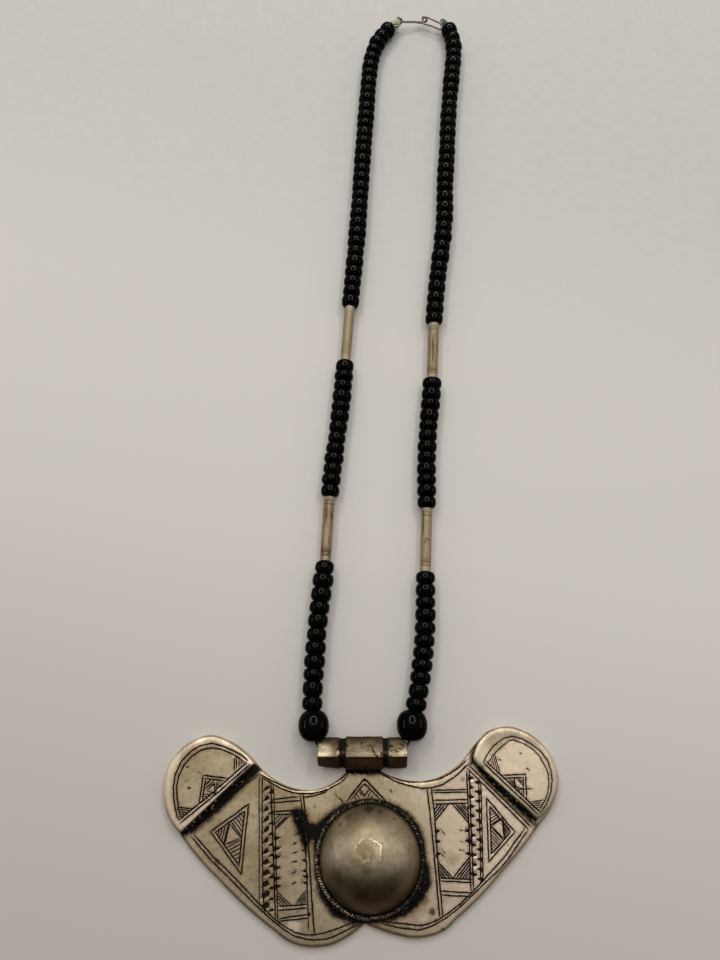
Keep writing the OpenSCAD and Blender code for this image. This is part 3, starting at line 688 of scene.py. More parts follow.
# Marks on the dome: place, size, how strong each is, and its colour. The near-black and dark brown ones at negative
# y, on the side away from the bail, are painted shade: the dark room that the dome reflects there. The others are
# brown stains round its foot, and patches that darken the dent and the dome's top.
DOME_STAINS_AND_SHADE = [(1.0, -12.2, 3.6, 7.0, 0.85, "#1a130a"), (-6.5, -10.1, 3.8, 5.0, 0.6, "#261b0f"),
               (7.3, -9.6, 3.8, 4.6, 0.55, "#2b2013"), (7.5, -6.2, 7.5, 1.1, 0.75, "#3a3220"),
               (4.5, 11.7, 4.2, 0.8, 0.6, "#4d371f"), (8.3, 10.1, 4.4, 0.5, 0.8, "#4d371f"),
               (12.2, 5.4, 4.4, 0.35, 0.8, "#4d371f"),
               (5.2, 7.8, 7.1, 0.2, 0.9, "#4d371f"), (0.3, 1.7, 9.6, 0.9, 0.8, "#6b4c28"),
               (1.0, 0.5, 9.6, 0.6, 0.7, "#6b4c28"), (1.7, 3.9, 9.5, 0.4, 0.8, "#6b5330"),
               (1.2, 2.6, 9.6, 2.3, 0.5, "#6f5a3c"), (-3.9, 10.4, 4.2, 1.3, 0.6, "#5d4527"),
               (-6.2, 8.9, 4.9, 1.0, 0.6, "#5d4527"), (-5.6, 7.0, 6.1, 0.25, 0.7, "#4d371f"),
               (1.5, 12.4, 4.0, 1.5, 0.7, "#3d3a22"), (0.2, -7.2, 7.2, 2.2, 0.7, "#2e2c1b"),
               (4.6, -8.6, 6.3, 2.6, 0.6, "#6b4129"), (-7.0, -4.0, 6.5, 3.2, 0.6, "#4d3623"),
               (1.8, 2.4, 9.4, 1.9, 0.5, "#7a684c"), (-0.4, 3.4, 9.3, 2.0, 0.7, "#65563f"),
               (0.9, 4.9, 9.3, 1.7, 0.5, "#75654a"), (1.0, -0.8, 9.6, 1.9, 0.65, "#6f5f46"),
               (-1.5, 0.5, 9.5, 1.6, 0.5, "#75654a"), (-0.6, 8.2, 7.4, 5.2, 0.6, "#7b6d54")]
# Short black gouges in the top of the bail, which slopes.
BAIL_MARKS = [(x, y, 26.9 - 0.71 * y, size, 0.95, "#120b06") for x, y, size in (
    (-0.3, 29.0, 0.43), (-0.4, 28.7, 0.43), (-0.6, 28.4, 0.36), (-2.4, 28.7, 0.32), (-1.5, 28.6, 0.29),
    (0.9, 28.3, 0.29), (2.0, 28.4, 0.29), (3.0, 28.4, 0.32), (3.6, 28.9, 0.29), (2.6, 27.4, 0.36),
    (2.7, 27.0, 0.43), (3.0, 26.7, 0.36), (3.1, 26.1, 0.36), (3.8, 25.8, 0.43), (4.9, 26.4, 0.43),
    (5.0, 26.0, 0.43), (6.1, 26.4, 0.43), (5.9, 28.7, 0.8), (6.5, 28.4, 0.8), (7.2, 28.2, 0.65),
    (7.8, 28.1, 0.36), (7.5, 27.0, 0.29), (8.1, 27.2, 0.29), (8.7, 27.1, 0.36), (9.2, 26.8, 0.29),
    (7.4, 25.8, 0.36), (8.3, 25.6, 0.32), (10.2, 28.7, 0.36), (10.5, 28.4, 0.43), (10.9, 28.2, 0.36),
    (-9.6, 29.5, 0.51), (-8.9, 29.5, 0.51), (-7.1, 29.1, 0.36), (-5.7, 29.2, 0.72), (-4.9, 28.8, 0.87),
    (-4.3, 28.2, 0.58), (-5.6, 27.6, 0.58), (-4.9, 27.1, 0.51), (-6.8, 27.4, 0.43))]
# A crack across the lower right tube, and one along it.
TUBE_CRACKS = [(x, y, z, size, 0.9, "#2f2316") for x, y, z, size in (
    (18.2, 84.2, 4.5, 0.3), (18.5, 84.7, 4.5, 0.3), (18.6, 85.2, 4.5, 0.3), (19.0, 85.1, 4.5, 0.25),
    (19.4, 84.9, 4.5, 0.3), (19.8, 84.8, 4.4, 0.3), (20.1, 85.3, 4.2, 0.3), (17.8, 93.4, 4.2, 0.4),
    (17.9, 92.6, 4.2, 0.35))]
# Painted highlights on the plate and the right cap, where the sheet catches the light: place, size and how bright.
PAINTED_HIGHLIGHTS = [(34.9, 0.5, 1.6, 7.0, 1.0), (38.6, 3.6, 1.6, 4.5, 1.0), (-17.9, -15.9, 1.6, 2.6, 0.9),
            (45.5, 18.5, 2.7, 8.0, 0.7), (-22.3, -11.5, 1.6, 2.0, 0.5), (31.5, -4.5, 1.6, 4.5, 0.9),
            (24.0, 3.0, 1.6, 6.0, 0.75), (23.0, -12.5, 1.6, 4.0, 0.8), (15.5, -13.5, 1.6, 2.5, 0.6),
            (36.5, -1.5, 1.6, 5.5, 1.0), (42.5, 8.5, 1.6, 3.5, 0.9), (43.0, 13.3, 2.7, 3.0, 1.0),
            (38.0, 17.8, 2.7, 2.2, 0.9), (46.0, 10.5, 2.7, 2.2, 1.0)]


# Long marks: how each is drawn out along x, y and z, how many to a millimetre, where it begins and is full, how
# strong it is, and its colour.
GOUGES = [((0.45, 1, 1), 0.7, 0.57, 0.61, 0.6, "#1a120b")]
STREAKS = [((1, 0.12, 1), 1.3, 0.47, 0.64, 0.75, "#5f452c")]
# What tarnish, dirt and fire leave on silver.
CREPT_TARNISH = "#665236"
DULL_SCRATCH = "#6e5f45"
BLACKENED_CUT = "#1b0f09"
SCORCHED = "#5d4428"
SOOT_BLACK = "#0b0805"


def clouded(tree, place, colour):
    """Clouds of yellow and brown tarnish over a colour."""
    for per_mm, begins, full, strength, tone in CLOUDS:
        cloud = add(tree, "ShaderNodeTexNoise", {"Vector": place, "Scale": per_mm, "Detail": 5.0, "Roughness": 0.65})
        cloud = add(tree, "ShaderNodeMapRange", {0: cloud, 1: begins, 2: full, 4: strength}, **SMOOTH)
        colour = add(tree, "ShaderNodeMix", {0: cloud, 6: colour, 7: linear(tone)}, **COLOUR)
    return colour


def painted_bright(tree, place, across, colour, worn, polished):
    """Painted light: the colour is brightened more on the right wing than on the left, where more light falls, and
    most at the painted highlights.
    """
    drift = add(tree, "ShaderNodeTexNoise", {"Vector": place, "Scale": 0.05, "Detail": 2.0})
    drift = add(tree, "ShaderNodeMath", {0: drift, 1: 20.0, 2: across}, operation="MULTIPLY_ADD")
    bright = add(tree, "ShaderNodeMapRange", {0: drift, 1: 12.0, 2: 46.0, 4: 0.8}, **SMOOTH)
    for x, y, z, size, strength in polished:
        apart = add(tree, "ShaderNodeVectorMath", {0: place, 1: (x, y, z)}, "Value", operation="DISTANCE")
        highlight_spot = add(tree, "ShaderNodeMapRange", {0: apart, 1: size, 2: size * 0.3, 3: 0.0, 4: strength}, **SMOOTH)
        bright = add(tree, "ShaderNodeMath", {0: bright, 1: highlight_spot}, operation="MAXIMUM")
    return add(tree, "ShaderNodeMix", {0: bright, 6: colour, 7: linear(worn)}, **COLOUR)


def stained_and_shaded(tree, place, grain, colour, stains_and_shade):
    """Small marks with uneven edges: stains, and on the dome and the caps' rims painted shade too."""
    for x, y, z, size, strength, tone in stains_and_shade:
        apart = add(tree, "ShaderNodeVectorMath", {0: place, 1: (x, y, z)}, "Value", operation="DISTANCE")
        apart = add(tree, "ShaderNodeMath", {0: grain, 1: size * 1.2, 2: apart}, operation="MULTIPLY_ADD")
        begins, full = size * 1.75, size * 1.05
        stain_and_shade = add(tree, "ShaderNodeMapRange", {0: apart, 1: begins, 2: full, 3: 0.0, 4: strength}, **SMOOTH)
        colour = add(tree, "ShaderNodeMix", {0: stain_and_shade, 6: colour, 7: linear(tone)}, **COLOUR)
    return colour


def painted_shade_by_height(tree, place, up, colour, painted_shade):
    """Painted shade: darker below a height across the piece, or above it where over is negative, in a brown that also
    stands for browning by the torch and by handling.
    """
    for at, over, tone in painted_shade:
        drift = add(tree, "ShaderNodeTexNoise", {"Vector": place, "Scale": 0.16, "Detail": 3.0})
        drift = add(tree, "ShaderNodeMath", {0: drift, 1: over * 1.6, 2: up}, operation="MULTIPLY_ADD")
        brown = add(tree, "ShaderNodeMapRange", {0: drift, 1: at + over * 1.8, 2: at - over * 0.2, 4: 0.85}, **SMOOTH)
        colour = add(tree, "ShaderNodeMix", {0: brown, 6: colour, 7: linear(tone)}, **COLOUR)
    return colour


def scratched(tree, place):
    """Scratches from wear and filing, much longer than wide, in two directions."""
    ways = []
    for turn in (35, -50):
        along = add(tree, "ShaderNodeMapping",
                    {"Vector": place, "Rotation": (0, 0, math.radians(turn)), "Scale": (1, 0.06, 1)})
        ways.append(add(tree, "ShaderNodeTexNoise", {"Vector": along, "Scale": 2.2, "Detail": 3.0, "Roughness": 0.7}))
    return add(tree, "ShaderNodeMath", {0: ways[0], 1: ways[1]}, operation="MAXIMUM")


def marked(tree, place, colour, marks):
    """Marks that are longer than wide."""
    for stretch, per_mm, begins, full, strength, tone in marks:
        drawn = add(tree, "ShaderNodeMapping", {"Vector": place, "Scale": stretch})
        mark = add(tree, "ShaderNodeTexNoise", {"Vector": drawn, "Scale": per_mm, "Detail": 4.0, "Roughness": 0.7})
        mark = add(tree, "ShaderNodeMapRange", {0: mark, 1: begins, 2: full, 4: strength}, **SMOOTH)
        colour = add(tree, "ShaderNodeMix", {0: mark, 6: colour, 7: linear(tone)}, **COLOUR)
    return colour


def sooty(tree, place, grain, axes, colour, soot_under):
    """The soot has a ragged edge, and a brown fringe runs ahead of it. Where soot_under is given, it also lies on
    all that is low: between two heights it fades out, and the heights lean to the right. Gives back the colour and
    how much soot there is."""
    reach = add(tree, "ShaderNodeAttribute", out="Fac", attribute_name="soot")
    ragged = add(tree, "ShaderNodeTexNoise", {"Vector": place, "Scale": 0.9, "Detail": 6.0, "Roughness": 0.75})
    ragged = add(tree, "ShaderNodeMath", {0: ragged, 1: 2.2, 2: -0.6}, operation="MULTIPLY_ADD")
    ragged = add(tree, "ShaderNodeMath", {0: reach, 1: SOOT_SPAN, 2: ragged}, operation="MULTIPLY_ADD")
    fringe = add(tree, "ShaderNodeMapRange", {0: ragged, 1: 1.3, 2: 2.7, 4: 0.7}, **SMOOTH)
    colour = add(tree, "ShaderNodeMix", {0: fringe, 6: colour, 7: linear(SCORCHED)}, **COLOUR)
    soot = add(tree, "ShaderNodeMapRange", {0: ragged, 1: 2.1, 2: 3.1}, **SMOOTH)
    if soot_under:
        low, high, lean = soot_under
        rise = add(tree, "ShaderNodeMath", {0: grain, 1: 3.0, 2: axes["Z"]}, operation="MULTIPLY_ADD")
        rise = add(tree, "ShaderNodeMath", {0: axes["X"], 1: lean, 2: rise}, operation="MULTIPLY_ADD")
        under = add(tree, "ShaderNodeMapRange", {0: rise, 1: high + 1.5, 2: low + 1.5}, **SMOOTH)
        soot = add(tree, "ShaderNodeMath", {0: soot, 1: under}, operation="MAXIMUM")
    return add(tree, "ShaderNodeMix", {0: soot, 6: colour, 7: linear(SOOT_BLACK)}, **COLOUR), soot


def worn_silver(name, light, dark, worn=None, rim="#cbbb9d", metal=1.0, rough=0.36, grime=0.0, marks=(), stains_and_shade=(),
                polished=(), painted_shade=(), soot_under=None):
    """Low-grade silver, cast or rolled, polished by wear: warm and soft in its gloss, with clouds of yellow and brown
    tarnish, fine scratches, and black tarnish in whatever is cut into it. Some pieces also get painted highlights and
    painted shade."""
    mat, tree, place = new_finish(name)
    axes = add(tree, "ShaderNodeSeparateXYZ", {0: place}, None).outputs
    patches = add(tree, "ShaderNodeTexNoise", {"Vector": place, "Scale": 0.09, "Detail": 3.0, "Roughness": 0.55})
    patches = add(tree, "ShaderNodeMapRange", {0: patches, 1: 0.35, 2: 0.68}, **SMOOTH)
    grain = add(tree, "ShaderNodeTexNoise", {"Vector": place, "Scale": 1.4, "Detail": 3.0, "Roughness": 0.6})
    lines = scratched(tree, place)
    colour = add(tree, "ShaderNodeMix", {0: patches, 6: linear(light), 7: linear(dark)}, **COLOUR)
    colour = clouded(tree, place, colour)
    # Painted light: brighter towards the right wing, with painted highlights at the listed places.
    if worn:
        colour = painted_bright(tree, place, axes["X"], colour, worn, polished)
    # The polish is worn rims, and on the dome a highlight painted along the dent's ridge.
    edge = add(tree, "ShaderNodeAttribute", out="Fac", attribute_name="polish")
    edge = add(tree, "ShaderNodeMapRange", {0: edge, 1: 0.1, 2: 0.7, 4: 0.75}, **SMOOTH)
    colour = add(tree, "ShaderNodeMix", {0: edge, 6: colour, 7: linear(rim)}, **COLOUR)
    colour = stained_and_shaded(tree, place, grain, colour, stains_and_shade)
    colour = painted_shade_by_height(tree, place, axes["Y"], colour, painted_shade)
    # Tarnish creeps out from the cuts, where polishing doesn't reach.
    halo = add(tree, "ShaderNodeAttribute", out="Fac", attribute_name="tarnish")
    halo = add(tree, "ShaderNodeMapRange", {0: halo, 1: 0.4, 2: 1.0, 4: 0.55}, **SMOOTH)
    uneven = add(tree, "ShaderNodeMapRange", {0: grain, 1: 0.3, 2: 0.7}, **SMOOTH)
    halo = add(tree, "ShaderNodeMath", {0: halo, 1: uneven}, operation="MULTIPLY")
    colour = add(tree, "ShaderNodeMix", {0: halo, 6: colour, 7: linear(CREPT_TARNISH)}, **COLOUR)
    faint = add(tree, "ShaderNodeMapRange", {0: lines, 1: 0.56, 2: 0.74, 4: 0.3}, **SMOOTH)
    colour = add(tree, "ShaderNodeMix", {0: faint, 6: colour, 7: linear(DULL_SCRATCH)}, **COLOUR)
    colour = marked(tree, place, colour, marks)
    # Small pits and whatever is cut are full of black tarnish. There are more pits where there is more grime.
    pits = add(tree, "ShaderNodeTexNoise", {"Vector": place, "Scale": 3.1, "Detail": 2.0})
    begins, full = 0.69 - grime * 0.12, 0.75 - grime * 0.12
    pits = add(tree, "ShaderNodeMapRange", {0: pits, 1: begins, 2: full, 4: 0.8}, **SMOOTH)
    cut = add(tree, "ShaderNodeAttribute", out="Fac", attribute_name="patina")
    cut = add(tree, "ShaderNodeMapRange", {0: cut, 1: 0.03, 2: 0.3}, **SMOOTH)
    cut = add(tree, "ShaderNodeMath", {0: cut, 1: pits}, operation="MAXIMUM")
    colour = add(tree, "ShaderNodeMix", {0: cut, 6: colour, 7: linear(BLACKENED_CUT)}, **COLOUR)
    colour, soot = sooty(tree, place, grain, axes, colour, soot_under)
    # Dirt takes away the metal's shine.
    dirt = add(tree, "ShaderNodeMath", {0: soot, 1: cut}, operation="MAXIMUM")
    bare = add(tree, "ShaderNodeMath", {0: dirt, 1: -0.85 * metal, 2: metal}, operation="MULTIPLY_ADD")
    gloss = add(tree, "ShaderNodeMapRange", {0: lines, 1: 0.5, 2: 0.8, 3: rough, 4: rough + 0.16}, **SMOOTH)
    gloss = add(tree, "ShaderNodeMath", {0: dirt, 1: 0.3, 2: gloss}, operation="MULTIPLY_ADD")
    gloss = add(tree, "ShaderNodeMath", {0: patches, 1: 0.06, 2: gloss}, operation="MULTIPLY_ADD")
    relief = add(tree, "ShaderNodeTexNoise", {"Vector": place, "Scale": 0.35, "Detail": 3.0})
    relief = add(tree, "ShaderNodeMath", {0: lines, 1: 0.6, 2: relief}, operation="MULTIPLY_ADD")
    relief = add(tree, "ShaderNodeMath", {0: pits, 1: -1.2, 2: relief}, operation="MULTIPLY_ADD")
    bump = add(tree, "ShaderNodeBump", {"Height": relief, "Strength": 0.5, "Distance": 0.00012})
    surface = add(tree, "ShaderNodeBsdfPrincipled", {"Base Color": colour, "Metallic": bare, "Roughness": gloss,
                                                     "Normal": bump, "Specular IOR Level": 0.15})
    add(tree, "ShaderNodeOutputMaterial", {"Surface": surface}, None)
    return mat


def black_glass():
    """Opaque black glass beads, wound and fire-polished: near black, with small sharp reflections and a few
    smears of dust."""
    mat, tree, place = new_finish("black_glass")
    dust = add(tree, "ShaderNodeTexNoise", {"Vector": place, "Scale": 0.6, "Detail": 5.0, "Roughness": 0.7})
    dust = add(tree, "ShaderNodeMapRange", {0: dust, 1: 0.55, 2: 0.8}, **SMOOTH)
    thin = add(tree, "ShaderNodeMath", {0: dust, 1: 0.35}, operation="MULTIPLY")
    colour = add(tree, "ShaderNodeMix", {0: thin, 6: linear("#010201"), 7: linear("#040504")}, **COLOUR)
    gloss = add(tree, "ShaderNodeMapRange", {0: dust, 3: 0.03, 4: 0.11})
    surface = add(tree, "ShaderNodeBsdfPrincipled", {"Base Color": colour, "Roughness": gloss,
                                                     "Specular IOR Level": 0.03})
    add(tree, "ShaderNodeOutputMaterial", {"Surface": surface}, None)
    return mat


def black_solder():
    """Borax and soot left by soldering with silver filings: black, lumpy and part glassy, with beads of bare
    silver here and there."""
    mat, tree, place = new_finish("soldering_black")
    lumps = add(tree, "ShaderNodeTexNoise", {"Vector": place, "Scale": 1.3, "Detail": 6.0, "Roughness": 0.7})
    burnt = add(tree, "ShaderNodeMapRange", {0: lumps, 1: 0.55, 2: 0.8}, **SMOOTH)
    colour = add(tree, "ShaderNodeMix", {0: burnt, 6: linear("#0d0a06"), 7: linear("#1d150b")}, **COLOUR)
    bare = add(tree, "ShaderNodeTexNoise", {"Vector": place, "Scale": 1.3, "Detail": 2.0, "Roughness": 0.4})
    bare = add(tree, "ShaderNodeMapRange", {0: bare, 1: 0.66, 2: 0.7, 4: 0.9}, **SMOOTH)
    colour = add(tree, "ShaderNodeMix", {0: bare, 6: colour, 7: linear("#a59a82")}, **COLOUR)
    gloss = add(tree, "ShaderNodeMapRange", {0: lumps, 1: 0.35, 2: 0.7, 3: 0.25, 4: 0.6}, **SMOOTH)
    bump = add(tree, "ShaderNodeBump", {"Height": lumps, "Strength": 0.7, "Distance": 0.0005})
    surface = add(tree, "ShaderNodeBsdfPrincipled", {"Base Color": colour, "Metallic": bare, "Roughness": gloss,
                                                     "Normal": bump, "Specular IOR Level": 0.1})
    add(tree, "ShaderNodeOutputMaterial", {"Surface": surface}, None)
    return mat


def cotton(name, pale, deep, soiled_below=None):
    """Waxed cotton thread, dyed green and bleached by light: matt, with a fuzz that softens its edges."""
    mat, tree, place = new_finish(name)
    fade = add(tree, "ShaderNodeTexNoise", {"Vector": place, "Scale": 0.9, "Detail": 4.0, "Roughness": 0.65})
    fade = add(tree, "ShaderNodeMapRange", {0: fade, 1: 0.35, 2: 0.65}, **SMOOTH)
    colour = add(tree, "ShaderNodeMix", {0: fade, 6: linear(pale), 7: linear(deep)}, **COLOUR)
    if soiled_below:
        up = add(tree, "ShaderNodeSeparateXYZ", {0: place}, "Y")
        soiled = add(tree, "ShaderNodeMapRange", {0: up, 1: soiled_below + 4, 2: soiled_below}, **SMOOTH)
        colour = add(tree, "ShaderNodeMix", {0: soiled, 6: colour, 7: linear("#24231a")}, **COLOUR)
    # Single fibres are too fine to show, so they are drawn 0.15 mm apart.
    fibres = add(tree, "ShaderNodeTexNoise", {"Vector": place, "Scale": 6.5, "Detail": 2.0})
    bump = add(tree, "ShaderNodeBump", {"Height": fibres, "Strength": 0.7, "Distance": 0.0001})
    surface = add(tree, "ShaderNodeBsdfPrincipled", {"Base Color": colour, "Roughness": 0.85, "Sheen Weight": 0.25,
                                                     "Normal": bump})
    add(tree, "ShaderNodeOutputMaterial", {"Surface": surface}, None)
    return mat


def iron_wire():
    """Annealed iron wire, drawn and then browned by handling: dull, with streaks along it."""
    mat, tree, place = new_finish("browned_iron_wire")
    brown = add(tree, "ShaderNodeTexNoise", {"Vector": place, "Scale": 1.1, "Detail": 4.0, "Roughness": 0.6})
    brown = add(tree, "ShaderNodeMapRange", {0: brown, 1: 0.35, 2: 0.65}, **SMOOTH)
    colour = add(tree, "ShaderNodeMix", {0: brown, 6: linear("#a39382"), 7: linear("#6f6153")}, **COLOUR)
    gloss = add(tree, "ShaderNodeMapRange", {0: brown, 3: 0.38, 4: 0.55})
    surface = add(tree, "ShaderNodeBsdfPrincipled", {"Base Color": colour, "Metallic": 0.8, "Roughness": gloss})
    add(tree, "ShaderNodeOutputMaterial", {"Surface": surface}, None)
    return mat


def matt_card():
    """Pale grey card: matt, with a fibre that barely shows."""
    mat, tree, place = new_finish("pale_card")
    fibre = add(tree, "ShaderNodeTexNoise", {"Vector": place, "Scale": 0.25, "Detail": 5.0, "Roughness": 0.6})
    fibre = add(tree, "ShaderNodeMapRange", {0: fibre, 1: 0.3, 2: 0.7}, **SMOOTH)
    colour = add(tree, "ShaderNodeMix", {0: fibre, 6: linear("#cfccc7"), 7: linear("#cbc8c3")}, **COLOUR)
    # Painted light and shade: the card is painted palest in the middle, and greyer at the pendant's end, most of all
    # on the left, for the shade that falls there.
    near = add(tree, "ShaderNodeVectorMath", {0: place, 1: (0.25, 1, 0)}, "Value", operation="DOT_PRODUCT")
    pale = add(tree, "ShaderNodeMapRange", {0: near, 1: 260.0, 2: 130.0}, **SMOOTH)
    colour = add(tree, "ShaderNodeMix", {0: pale, 6: colour, 7: linear("#dad6cf")}, **COLOUR)
    grey = add(tree, "ShaderNodeMapRange", {0: near, 1: 115.0, 2: -50.0}, **SMOOTH)
    colour = add(tree, "ShaderNodeMix", {0: grey, 6: colour, 7: linear("#c2bdb6")}, **COLOUR)
    surface = add(tree, "ShaderNodeBsdfPrincipled", {"Base Color": colour, "Roughness": 0.9,
                                                     "Specular IOR Level": 0.1})
    add(tree, "ShaderNodeOutputMaterial", {"Surface": surface}, None)
    return mat


# The worn colours of the plate and the right cap paint their light: the right wing brighter than the left, and the
# highlights.
PLATE_SILVER = worn_silver("worn_low_silver", "#c6b698", "#ad9c7a", worn="#f8e3ca", rim="#d0bfa0", stains_and_shade=STAINS_AND_RIM_SHADE,
                           polished=PAINTED_HIGHLIGHTS)
LEFT_TIP_SILVER = worn_silver("worn_low_silver_left_tip", "#c6b698", "#ad9c7a", rim="#f4e0c8", stains_and_shade=STAINS_AND_RIM_SHADE)
RIGHT_TIP_SILVER = worn_silver("worn_low_silver_right_tip", "#cbb99a", "#b8a482", worn="#f3dec4", rim="#cbbda3",
                               stains_and_shade=STAINS_AND_RIM_SHADE, polished=PAINTED_HIGHLIGHTS)
# The dome's rim colour paints the highlight along the dent's ridge, and its painted shade darkens the side away from
# the bail.
DOME_SILVER = worn_silver("raised_low_silver", "#b4a78f", "#96876d", rim="#efe0c4", stains_and_shade=DOME_STAINS_AND_SHADE,
                          painted_shade=[(-4.7, 4.5, "#5e4630")])
# On the bail, the bright places near its top at both ends and beside the sleeve are painted highlights. Its painted
# shade darkens the facet that faces the window, and browns the lower facet as tarnish and shade together.
BAIL_SILVER = worn_silver("folded_low_silver", "#83765e", "#695946", worn="#c4b598", grime=0.4, marks=GOUGES,
                          stains_and_shade=BAIL_MARKS,
                          polished=[(-10.6, 27.2, 8.0, 3.4, 1.0), (-6.0, 26.8, 8.6, 1.6, 0.8),
                                    (10.9, 26.8, 8.4, 2.2, 0.8)],
                          painted_shade=[(25.5, 0.5, "#5c4330"), (28.4, -1.4, "#3f3122")])
TUBE_SILVER = worn_silver("rolled_low_silver", "#9a8a6c", "#897a5a", metal=0.5, rough=0.46, grime=0.1, rim="#a69a7f",
                          stains_and_shade=TUBE_CRACKS)
BROWNED_SILVER = worn_silver("browned_low_silver", "#9d8b6e", "#85745a", metal=0.5, rough=0.46, grime=0.2,
                             rim="#aa9c81", marks=STREAKS)
COLLAR_SILVER = worn_silver("twisted_low_silver", "#9d927c", "#5d5444", grime=0.9,
                            soot_under=(2.45, 2.95, -0.008))
GLASS = black_glass()
SOLDER = black_solder()
PALE_COTTON = cotton("bleached_green_cotton", "#c3c8a8", "#9fb08c")
STRING_COTTON = cotton("soiled_green_cotton", "#b4bb9c", "#8fa07e", 268)
GREEN_COTTON = cotton("green_cotton", "#5f7f66", "#2f4a38")
WIRE = iron_wire()

# ---------------------------------------------------------------- node trees

def new_tree(name, inputs):
    """A geometry tree with named inputs. Returns the tree and its input and output nodes."""
    tree = bpy.data.node_groups.new(name, "GeometryNodeTree")
    tree.interface.new_socket("Geometry", in_out="INPUT", socket_type="NodeSocketGeometry")
    for label, (kind, value) in inputs.items():
        made = tree.interface.new_socket(label, in_out="INPUT", socket_type=kind)
        if value is not None:
            made.default_value = value
    tree.interface.new_socket("Geometry", in_out="OUTPUT", socket_type="NodeSocketGeometry")
    return tree, add(tree, "NodeGroupInput", out=None).outputs


def wire_tree():
    """Round wire of one thickness along every run of edges."""
    tree, given = new_tree("wire_along_path", {
        "Thickness": ("NodeSocketFloat", 0.001), "Sides": ("NodeSocketInt", 10),
        "Material": ("NodeSocketMaterial", None)})
    path = add(tree, "GeometryNodeMeshToCurve", {0: given["Geometry"]})
    radius = add(tree, "ShaderNodeMath", {0: given["Thickness"], 1: 0.5}, operation="MULTIPLY")
    ring = add(tree, "GeometryNodeCurvePrimitiveCircle", {"Resolution": given["Sides"], "Radius": radius})
    tube = add(tree, "GeometryNodeCurveToMesh", {"Curve": path, "Profile Curve": ring, "Fill Caps": True})
    smooth = add(tree, "GeometryNodeSetShadeSmooth", {0: tube})
    real = add(tree, "GeometryNodeRealizeInstances", {0: smooth})
    done = add(tree, "GeometryNodeSetMaterial", {0: real, "Material": given["Material"]})
    add(tree, "NodeGroupOutput", {0: done}, None)
    return tree


def bead_tree():
    """One bead on every point, turned and sized by the point, then pressed a little out of true."""
    tree, given = new_tree("beads_on_thread", {
        "Bead": ("NodeSocketObject", None), "Unevenness": ("NodeSocketFloat", 0.0001),
        "Lumps per metre": ("NodeSocketFloat", 300.0), "Seed": ("NodeSocketFloat", 1.0),
        "Material": ("NodeSocketMaterial", None)})
    bead = add(tree, "GeometryNodeObjectInfo", {"Object": given["Bead"]}, "Geometry")
    turn = add(tree, "GeometryNodeInputNamedAttribute", {"Name": "turn"}, data_type="FLOAT_VECTOR")
    size = add(tree, "GeometryNodeInputNamedAttribute", {"Name": "size"}, data_type="FLOAT_VECTOR")
    placed = add(tree, "GeometryNodeInstanceOnPoints",
                 {"Points": given["Geometry"], "Instance": bead, "Rotation": turn, "Scale": size})
    real = add(tree, "GeometryNodeRealizeInstances", {0: placed})
    lumps = add(tree, "ShaderNodeTexNoise", {"Scale": given["Lumps per metre"], "Detail": 1.0, "W": given["Seed"]},
                "Color", noise_dimensions="4D")
    lumps = add(tree, "ShaderNodeVectorMath", {0: lumps, 1: (0.5, 0.5, 0.5)}, operation="SUBTRACT")
    push = add(tree, "ShaderNodeVectorMath", {0: lumps, "Scale": given["Unevenness"]}, operation="SCALE")
    pressed = add(tree, "GeometryNodeSetPosition", {0: real, "Offset": push})
    done = add(tree, "GeometryNodeSetMaterial", {0: pressed, "Material": given["Material"]})
    add(tree, "NodeGroupOutput", {0: done}, None)
    return tree


WIRE_TREE = wire_tree()
BEAD_TREE = bead_tree()


def grow(source, name, tree, **values):
    """Runs a geometry tree on an object and keeps what it makes as a plain mesh in a new object."""
    modifier = source.modifiers.new(name, "NODES")
    modifier.node_group = tree
    for item in tree.interface.items_tree:
        if item.in_out == "INPUT" and item.name in values:
            modifier[item.identifier] = values[item.name]
    shaped = source.evaluated_get(bpy.context.evaluated_depsgraph_get())
    mesh = bpy.data.meshes.new_from_object(shaped)
    source.modifiers.remove(modifier)
    bpy.data.objects.remove(source)
    return put(name, mesh)


def path_object(paths, closed=False):
    """Edges only, one run for each list of points in millimetres."""
    verts, edges = [], []
    for path in paths:
        start = len(verts)
        verts += [Vector(p) * MM for p in path]
        edges += [(start + i, start + i + 1) for i in range(len(path) - 1)]
        if closed:
            edges.append((start + len(path) - 1, start))
    mesh = bpy.data.meshes.new("path")
    mesh.from_pydata(verts, edges, [])
    return put("path", mesh)


def wires(name, paths, thickness, sides, finish, closed=False):
    """Round wire along each row of points, all in one mesh."""
    return grow(path_object(paths, closed), name, WIRE_TREE,
                **{"Thickness": thickness * MM, "Sides": sides, "Material": finish})


def smooth_way(points, steps=6):
    """A smooth way through points, with the same rule as the part's source."""
    points = [Vector(p) for p in points]
    slopes = []
    for a, p, b in zip(points[:1] + points, points, points[1:] + points[-1:]):
        slopes.append((b - a) / ((p - a).length + (b - p).length))
    out = []
    for i in range(len(points) - 1):
        c = (points[i + 1] - points[i]).length
        for k in range(steps):
            t = k / steps
            out.append((2 * t ** 3 - 3 * t ** 2 + 1) * points[i] + (t ** 3 - 2 * t ** 2 + t) * c * slopes[i]
                       + (-2 * t ** 3 + 3 * t ** 2) * points[i + 1] + (t ** 3 - t ** 2) * c * slopes[i + 1])
    return out + [points[-1]]


def finish_piece(piece, finish, node):
    """Gives a piece its finish and its place in the part, and hides the node that it stands for."""
    piece.data.materials.clear()
    piece.data.materials.append(finish)
    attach(piece, "root")
    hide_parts(node)


# ---------------------------------------------------------------- the pendant

